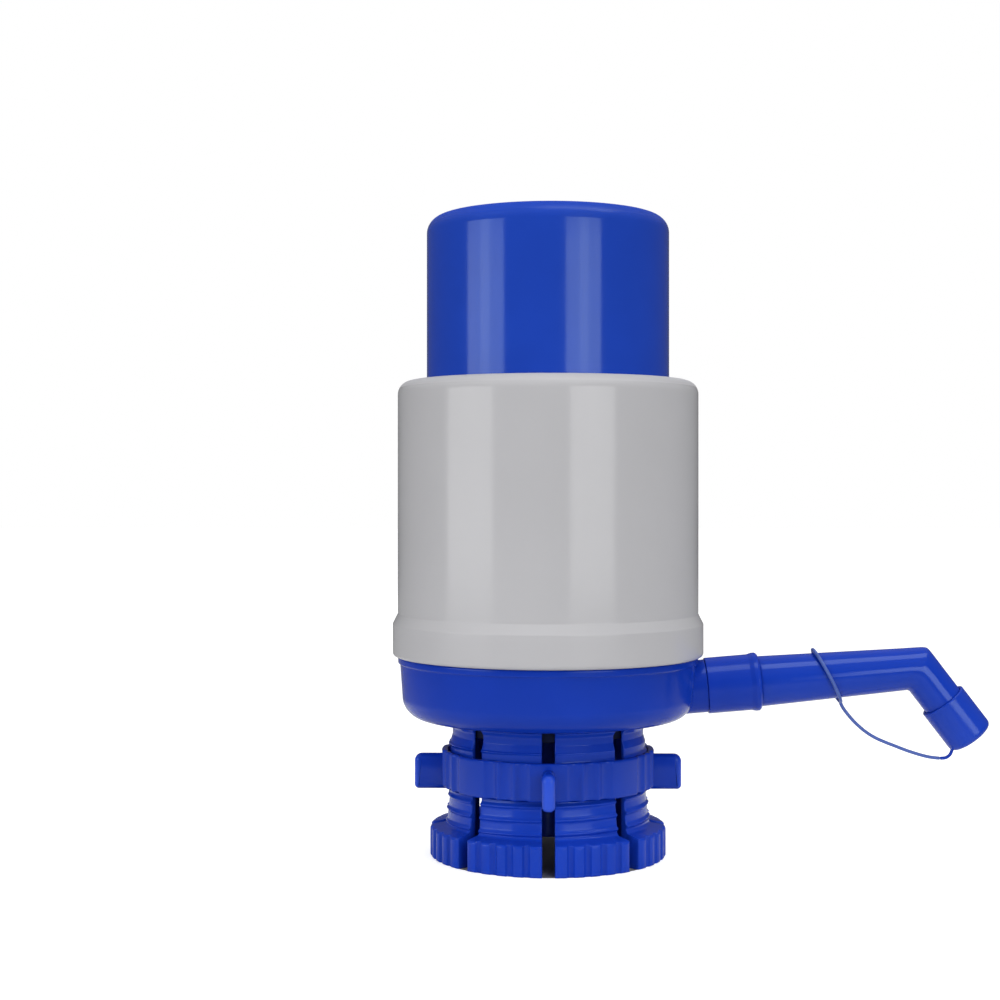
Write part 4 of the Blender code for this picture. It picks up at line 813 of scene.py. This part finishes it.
finger_sizes = {
    "Azimuth": 0.0, "Half Pitch": math.pi / FINGER_COUNT, "Slot Width": SLOT_WIDTH,
    "Edge Round": EDGE_ROUND, "Thread Pitch": THREAD_PITCH, "Thread Start": THREAD_START,
    "Thread Depth": THREAD_DEPTH, "Thread Foot": THREAD_FOOT_Z, "Thread Top": THREAD_TOP_Z,
    "Notch Radius": NOTCH_RADIUS, "Notch Middle": NOTCH_MIDDLE_RADIUS, "Lobe Pitch": LOBE_PITCH,
    "Lobe Radius": LOBE_RADIUS, "Lobe Crown": LOBE_CROWN}
finger_tree, given, calc, column, radius, height, side = slab_tree("collet_finger", finger_sizes)
size = given.outputs
half_slot = calc("DIVIDE", calc("MULTIPLY", size["Slot Width"], 0.5), radius)
edge = calc("SUBTRACT", size["Half Pitch"], calc("ARCSINE", half_slot))
local = calc("MULTIPLY", column, edge)
angle = calc("SUBTRACT", size["Azimuth"], local)
# The thread's ridges rise with the angle round the pump and fade out at both ends
phase = calc("SUBTRACT", height, size["Thread Start"])
phase = calc("SUBTRACT", calc("DIVIDE", phase, size["Thread Pitch"]), calc("DIVIDE", angle, 2.0 * math.pi))
ridge = calc("ABSOLUTE", calc("COSINE", calc("MULTIPLY", phase, math.pi)))
ridge = calc("MULTIPLY", calc("POWER", ridge, RIDGE_POWER), size["Thread Depth"])
above = calc("DIVIDE", calc("SUBTRACT", height, size["Thread Foot"]), FADE_FOOT)
below = calc("DIVIDE", calc("SUBTRACT", size["Thread Top"], height), FADE_TOP)
fade = calc("MINIMUM", calc("MINIMUM", above, below), 1.0)
fade = calc("MULTIPLY", calc("MAXIMUM", fade, 0.0), calc("MAXIMUM", side, 0.0))
threaded = calc("MULTIPLY_ADD", ridge, fade, radius)
# Four notches lie between five lobes along the foot, and the lobes are crowned
lobes = calc("DIVIDE", local, size["Lobe Pitch"])
off_lobe = calc("SUBTRACT", lobes, calc("ROUND", lobes))
crown = calc("MULTIPLY", calc("MULTIPLY", off_lobe, off_lobe), 4.0)
crown = calc("SUBTRACT", size["Lobe Radius"], calc("MULTIPLY", crown, size["Lobe Crown"]))
threaded = calc("MINIMUM", threaded, crown)
notch = calc("ADD", calc("FLOOR", lobes), 0.5)
notch = calc("MINIMUM", calc("MAXIMUM", notch, -OUTER_NOTCH), OUTER_NOTCH)
notch = calc("MULTIPLY", calc("SUBTRACT", lobes, notch), size["Lobe Pitch"])
notch = calc("MULTIPLY", notch, radius)
notch = scoop_depth(finger_tree, notch, size["Notch Radius"], size["Notch Middle"], threaded)
notched = calc("SUBTRACT", threaded, notch)
# Rounded edges along the slots
to_edge = calc("SUBTRACT", 1.0, calc("ABSOLUTE", column))
to_edge = calc("MULTIPLY", calc("MULTIPLY", to_edge, edge), radius)
short = calc("MAXIMUM", calc("SUBTRACT", size["Edge Round"], to_edge), 0.0)
chord = calc("SUBTRACT", calc("MULTIPLY", size["Edge Round"], size["Edge Round"]),
             calc("MULTIPLY", short, short))
drop = calc("SUBTRACT", size["Edge Round"], calc("SQRT", chord))
eased = calc("SUBTRACT", notched, calc("MULTIPLY", side, drop))
bent_round(finger_tree, given, angle, eased, height)

half_columns = [0.0, 0.03, 0.06, 0.085, 0.100, 0.112, 0.124, 0.14, 0.16, 0.184, 0.208, 0.232, 0.256, 0.276,
                0.292, 0.304, 0.316, 0.33, 0.36, 0.39, 0.42, 0.45, 0.48, 0.508, 0.52, 0.532, 0.548, 0.568,
                0.592, 0.616, 0.64, 0.664, 0.684, 0.7, 0.712, 0.724, 0.74, 0.77, 0.8, 0.83, 0.86, 0.89,
                0.915, 0.935, 0.951, 0.964, 0.975, 0.984, 0.992, 0.997, 1.0]
finger_columns = [-column for column in reversed(half_columns[1:])] + half_columns
collet_blue = moulded("glossy_blue_collet", (0.0070, 0.044, 0.450), 0.17, tone=0.07, shine=0.28)
finger_profile = finer(finger_profile, WALL_STEP, WALL_FOOT_Z, WALL_TOP_Z)


def finger_side(radius, height):
    if radius > OUTSIDE_RADIUS and height > OUTSIDE_FOOT_Z:
        return 1.0
    return -1.0 if radius < INSIDE_RADIUS and INSIDE_FOOT_Z < height < INSIDE_TOP_Z else 0.0


for number in range(FINGER_COUNT):
    blank = slab("finger_%d" % (number + 1), finger_profile, finger_columns, False, finger_side)
    finger_sizes["Azimuth"] = -math.pi / 2.0 + 2.0 * math.pi * (number + 0.5) / FINGER_COUNT
    finger = grown(blank, finger_tree, collet_blue, finger_sizes)
    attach(finger, "finger_%d" % (number + 1))
    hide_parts("clamp_finger_%d" % (number + 1))

# Lock ring
# A threaded blue ring that is screwed down the tapered collet to squeeze its fingers. Four wings give
# a hold to the hand, and three shallow flutes lie on both sides of each wing.
RING_FOOT_Z = 0.0206
RING_TOP_Z = 0.0316
RING_BORE = 0.0300
RING_RADIUS = 0.0318
RING_MIDDLE = 0.0310
RING_COLUMNS = 720
FLUTES_BESIDE = 3
FLUTE_ROUND = 0.0030
FLUTE_DEPTH = 0.0009
FLUTE_START = math.radians(13.5)
FLUTE_PITCH = math.radians(9.0)
WING_COUNT = 4
WING_TIP_RADIUS = 0.0400
WING_ROOT_RADIUS = 0.0306
WING_FOOT_Z = 0.0193
WING_TOP_Z = 0.0299
WING_THICKNESS = 0.0039
WING_EDGE_ROUND = 0.0017
WING_FOOT_FILLET = 0.0013
WING_TOP_FILLET = 0.0022
CORNER_STEPS = 6
CORNER_STEP = 15.0

flute_sizes = {
    "Outer Radius": RING_RADIUS, "Flute Round": FLUTE_ROUND, "Flute Depth": FLUTE_DEPTH,
    "Flute Start": FLUTE_START, "Flute Pitch": FLUTE_PITCH, "Wing Pitch": 2.0 * math.pi / WING_COUNT}
flute_tree, given, calc, angle, radius, height, side = slab_tree("fluted_ring", flute_sizes)
size = given.outputs
from_wing = calc("ROUND", calc("DIVIDE", angle, size["Wing Pitch"]))
from_wing = calc("SUBTRACT", angle, calc("MULTIPLY", from_wing, size["Wing Pitch"]))
from_wing = calc("SUBTRACT", calc("ABSOLUTE", from_wing), size["Flute Start"])
nearest = calc("ROUND", calc("DIVIDE", from_wing, size["Flute Pitch"]))
nearest = calc("MINIMUM", calc("MAXIMUM", nearest, 0.0), FLUTES_BESIDE - 1.0)
from_flute = calc("SUBTRACT", from_wing, calc("MULTIPLY", nearest, size["Flute Pitch"]))
from_flute = calc("MULTIPLY", from_flute, size["Outer Radius"])
flute_middle = calc("SUBTRACT", calc("ADD", size["Outer Radius"], size["Flute Round"]), size["Flute Depth"])
flute = scoop_depth(flute_tree, from_flute, size["Flute Round"], flute_middle, size["Outer Radius"])
flute = calc("MULTIPLY", flute, calc("MAXIMUM", side, 0.0))
fluted = calc("SUBTRACT", radius, flute)
bent_round(flute_tree, given, calc("MULTIPLY", angle, -1.0), fluted, height)


def columns_round(count):
    """Angles set evenly round the whole turn."""
    return [2.0 * math.pi * number / count for number in range(count)]


# From 38.6 mm out to the tips at 40 mm the wings are painted a lighter blue, a painted highlight on their
# ends
ring_blue = moulded("glossy_blue_ring", (0.0045, 0.037, 0.410), 0.13, tone=0.07, shine=0.34,
                    painted_highlight=(0.0386, 0.0400, (0.025, 0.080, 0.620)))
ring_profile = rounded([(RING_BORE, RING_TOP_Z, 0.0003), (RING_RADIUS, RING_TOP_Z, 0.0005),
                        (RING_RADIUS, RING_FOOT_Z, 0.0010), (RING_BORE, RING_FOOT_Z, 0.0003)])
ring_slab = slab("ring_slab", ring_profile, columns_round(RING_COLUMNS), True,
                 lambda radius, height: 1.0 if radius > RING_MIDDLE else 0.0)
ring_band = grown(ring_slab, flute_tree, ring_blue, flute_sizes)


def wing_outline(inset):
    """One wing's outline in its own plane, drawn in by an inset: tall round top, tight round foot."""
    points = [(WING_ROOT_RADIUS, WING_FOOT_Z + inset)]
    for fillet, middle_z, start in ((WING_FOOT_FILLET, WING_FOOT_Z + WING_FOOT_FILLET, -90.0),
                                    (WING_TOP_FILLET, WING_TOP_Z - WING_TOP_FILLET, 0.0)):
        for step in range(CORNER_STEPS + 1):
            angle = math.radians(start + CORNER_STEP * step)
            points.append((WING_TIP_RADIUS - fillet + (fillet - inset) * math.cos(angle),
                           middle_z + (fillet - inset) * math.sin(angle)))
    points.append((WING_ROOT_RADIUS, WING_TOP_Z - inset))
    return points


wing = bmesh.new()
wing_loops = []
for step in range(-CORNER_STEPS, CORNER_STEPS + 1):
    if step == 0:
        continue
    angle = math.radians(CORNER_STEP * (abs(step) - 0.5))
    inset = WING_EDGE_ROUND * (1.0 - math.cos(angle))
    across = math.copysign(WING_THICKNESS / 2.0 - WING_EDGE_ROUND * (1.0 - math.sin(angle)), step)
    outline = wing_outline(inset)
    wing_loops.append([wing.verts.new((place_x, across, place_z)) for place_x, place_z in outline])
skinned(wing, wing_loops)
bmesh.ops.recalc_face_normals(wing, faces=wing.faces)
ring_wings = grown(new_piece("ring_wings", wing), ring_tree, ring_blue, {"Count": WING_COUNT, "Start": 0.0})
winged_ring = joined("winged_ring", [ring_band, ring_wings])
dress(winged_ring, ring_blue)
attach(winged_ring, "lock_ring")
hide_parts("lock_ring")

# Spout
# The coupling sleeve is pushed over the boss's nozzle. The tapered tube turns in it on an O-ring, and
# bends down to a short leg, which the cap closes. Coupling, tube and cap are glossy blue mouldings.
COUPLING_RADIUS = 0.00835
TUBE_START = 0.01595
TAPER_START = 0.01675
TAPER_STEPS = 12
TUBE_ROOT_RADIUS = 0.0075
TUBE_ELBOW_RADIUS = 0.0063
ELBOW_LENGTH = 0.0632 / math.cos(SPOUT_RISE)
ELBOW_BEND = 0.0078
ELBOW_STEPS = 12
ELBOW_CROWDING = 1.5
ELBOW_CORNER = math.radians(2.6)
LEG_DROP = math.radians(52.5)
LEG_RADIUS = 0.0061
LEG_LENGTH = 0.0241
LEG_BORE = 0.0048
CAP_LENGTH = 0.0141
CAP_START = 0.0121
ROOT_AHEAD = 0.0254
ROOT_ASIDE = 0.0064
ROOT_RISE = 0.00095
ROOT_REACH = 0.0048
ROOT_STEPS = 5
SPOUT_SIDES = 72

leg_ahead = Vector((math.cos(LEG_DROP), 0.0, -math.sin(LEG_DROP)))
leg_side = Vector((-math.sin(LEG_DROP), 0.0, -math.cos(LEG_DROP)))
elbow = BOSS_END + spout_ahead * ELBOW_LENGTH

spout_blue = moulded("glossy_blue_spout", (0.0060, 0.043, 0.455), 0.11, seam="Y")
coupling = turned("coupling", [
    (0.0074, 0.0159, 0.0002), (0.0081, 0.0159, 0.0004), (0.0087, 0.0153, 0.0006), (0.0087, 0.0142, 0.0008),
    (COUPLING_RADIUS, 0.0129, 0.0008), (COUPLING_RADIUS, 0.00005, 0.0002), (0.0062, 0.00005, 0.0002),
    (0.0062, 0.0063, 0.0002), (0.0068, 0.0063, 0.0002), (0.0068, 0.0153, 0.0002)], SPOUT_SIDES, BOSS_END,
    spout_tilt)
dress(coupling, moulded("glossy_blue_coupling", (0.0060, 0.041, 0.450), 0.16, shine=0.28))
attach(coupling, "base")
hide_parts("spout_coupling")

half_bend = (SPOUT_RISE + LEG_DROP) / 2.0
bend_length = ELBOW_BEND * math.tan(half_bend)
bend_start = ELBOW_LENGTH - bend_length
tube_profile = [(0.0066, 0.0), (0.0066, 0.0062), (0.0069, 0.0065), (0.0101, 0.0065), (0.0101, 0.0050),
                (0.0119, 0.0050), (0.0119, 0.0065), (TUBE_START, 0.0065), (TUBE_START, 0.0072),
                (TUBE_START + 0.0001, 0.0074), (TUBE_START + 0.0003, 0.00748)]
for step in range(TAPER_STEPS + 1):
    share = step / TAPER_STEPS
    tube_profile.append((TAPER_START + (bend_start - TAPER_START) * share,
                         TUBE_ROOT_RADIUS + (TUBE_ELBOW_RADIUS - TUBE_ROOT_RADIUS) * share))
tube_rings = []
for distance, radius in tube_profile:
    tube_rings.append((BOSS_END + spout_ahead * distance, spout_ahead, radius))
bend_centre = elbow - (spout_ahead - leg_ahead).normalized() * ELBOW_BEND / math.cos(half_bend)


def elbow_ring(radius, stretch):
    """A ring of the bend, stretched on its outer side towards the corner where the two lengths meet."""
    return lambda turn: (radius * math.cos(turn), radius * math.sin(turn) + (
        ELBOW_BEND + radius * math.sin(turn)) * stretch * (0.5 + 0.5 * math.sin(turn)))


for step in range(1 - ELBOW_STEPS, ELBOW_STEPS):
    share = math.copysign((abs(step) / ELBOW_STEPS) ** ELBOW_CROWDING, step)
    ahead_angle = (SPOUT_RISE - LEG_DROP) / 2.0 - half_bend * share
    ahead = Vector((math.cos(ahead_angle), 0.0, math.sin(ahead_angle)))
    outward = Vector((-math.sin(ahead_angle), 0.0, math.cos(ahead_angle)))
    slant = max(0.0, half_bend - math.hypot(half_bend * share, ELBOW_CORNER))
    radius = TUBE_ELBOW_RADIUS + (LEG_RADIUS - TUBE_ELBOW_RADIUS) * (0.5 + 0.5 * share)
    corner = elbow_ring(radius, 1.0 / math.cos(slant) - 1.0)
    tube_rings.append((bend_centre + outward * ELBOW_BEND, ahead, corner))
for distance, radius in ((bend_length, LEG_RADIUS), (0.012, LEG_RADIUS), (LEG_LENGTH - 0.0010, LEG_RADIUS),
                         (LEG_LENGTH - 0.0005, LEG_RADIUS), (LEG_LENGTH - 0.00015, LEG_RADIUS - 0.00015),
                         (LEG_LENGTH, LEG_RADIUS - 0.0005), (LEG_LENGTH, LEG_BORE + 0.0004),
                         (LEG_LENGTH - 0.0003, LEG_BORE + 0.0001), (LEG_LENGTH - 0.0006, LEG_BORE),
                         (bend_length, LEG_BORE), (bend_length, 0.0)):
    tube_rings.append((elbow + leg_ahead * distance, leg_ahead, radius))
spout = ringed("spout_pipe", tube_rings, SPOUT_SIDES)
dress(spout, spout_blue)
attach(spout, "spout")
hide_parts("spout_tube")

cap_cup = turned("cap_cup", [
    (0.0, CAP_LENGTH), (0.0071, CAP_LENGTH, 0.0016), (0.0071, 0.0, 0.0003), (0.00625, 0.0, 0.0002),
    (0.00625, 0.0125, 0.0008), (0.0, 0.0125)], SPOUT_SIDES, elbow + leg_ahead * CAP_START,
    math.pi / 2.0 + LEG_DROP)
root_points = []
for rise, reach in ((0.0, 1.0), (1.0, 0.67), (1.0, 0.33), (0.0, 0.0)):
    place = elbow + leg_ahead * (ROOT_AHEAD + ROOT_RISE * rise)
    root_points.append(place + leg_side * (ROOT_ASIDE + ROOT_REACH * reach))
root_route = curved_route(root_points, ROOT_STEPS)
cap_root = ringed("cap_root", strand_rings(root_route, STRAP_RADIUS), STRAP_SIDES)
spout_end_cap = joined("spout_end_cap", [cap_cup, cap_root])
dress(spout_end_cap, moulded("glossy_blue_cap", (0.0085, 0.046, 0.450), 0.19, peel=0.1))
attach(spout_end_cap, "spout_cap")
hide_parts("spout_cap")

# Bellows
# A folded sleeve of pale rubber that pumps the air. Its foot is clamped on the plate under it and its
# top sits on the spigot of the plate under the button.
FOLD_COUNT = 8
FOLD_STEPS = 10
FOLD_FOOT_Z = 0.0640
FOLD_TOP_Z = 0.1779
FOLD_DEPTH = 0.0054
FOLDED_RADIUS = 0.0259
BELLOWS_FOOT_Z = 0.0624
BELLOWS_TOP_Z = 0.1795
BELLOWS_OUTER = 0.0258
BELLOWS_BORE = 0.0246
LIP_RADIUS = 0.0310
FLANGE_RADIUS = 0.0385
BELLOWS_COLUMNS = 96

fold_sizes = {"Fold Foot": FOLD_FOOT_Z, "Fold Pitch": (FOLD_TOP_Z - FOLD_FOOT_Z) / FOLD_COUNT,
              "Fold Depth": FOLD_DEPTH}
fold_tree, given, calc, angle, radius, height, side = slab_tree("bellows_folds", fold_sizes)
size = given.outputs
fold = calc("DIVIDE", calc("SUBTRACT", height, size["Fold Foot"]), size["Fold Pitch"])
fold = calc("PINGPONG", calc("MULTIPLY", fold, 2.0), 1.0)
softer = calc("SUBTRACT", 0.5, calc("MULTIPLY", 0.5, calc("COSINE", calc("MULTIPLY", fold, math.pi))))
fold = calc("MULTIPLY", calc("ADD", fold, softer), 0.5)
fold = calc("MULTIPLY", calc("MULTIPLY", fold, size["Fold Depth"]), side)
bent_round(fold_tree, given, calc("MULTIPLY", angle, -1.0), calc("ADD", radius, fold), height)


def fold_points(radius, start, end):
    """Points set evenly along the folded length, from one height to the other."""
    rows = FOLD_COUNT * FOLD_STEPS
    return [(radius, start + (end - start) * number / rows) for number in range(rows + 1)]


def bellows_side(radius, height):
    return 1.0 if radius < FOLDED_RADIUS and FOLD_FOOT_Z <= height <= FOLD_TOP_Z else 0.0


bellows_profile = [(LIP_RADIUS, BELLOWS_TOP_Z), (LIP_RADIUS, FOLD_TOP_Z),
                   *fold_points(BELLOWS_OUTER, FOLD_TOP_Z, FOLD_FOOT_Z), (FLANGE_RADIUS, FOLD_FOOT_Z),
                   (FLANGE_RADIUS, BELLOWS_FOOT_Z), (BELLOWS_BORE, BELLOWS_FOOT_Z),
                   *fold_points(BELLOWS_BORE, FOLD_FOOT_Z, FOLD_TOP_Z), (BELLOWS_BORE, BELLOWS_TOP_Z)]
bellows_slab = slab("bellows_sleeve", bellows_profile, columns_round(BELLOWS_COLUMNS), True, bellows_side)
pale_rubber = moulded("pale_grey_rubber", (0.35, 0.36, 0.38), 0.55, tone=0.05, peel=0.4)
bellows = grown(bellows_slab, fold_tree, pale_rubber, fold_sizes)
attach(bellows, "base")
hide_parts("bellows")
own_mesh(bellows)

# Inner plates, valves and O-ring
# Plain white plates with their air holes, two rubber mushroom valves in them, the ring that clamps the
# bellows' foot, and the spout's O-ring. Their own solids are kept.
inner_white = moulded("plain_white_inside", (0.55, 0.56, 0.58), 0.42, tone=0.03, peel=0.15)
valve_rubber = moulded("dark_grey_rubber", (0.030, 0.032, 0.040), 0.50, tone=0.15, peel=0.4)
for names, material in ((("bellows_top_plate", "valve_plate", "bellows_clamp_ring"), inner_white),
                        (("intake_valve", "outlet_valve", "spout_o_ring"), valve_rubber)):
    for name in names:
        dress(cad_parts[name], material)
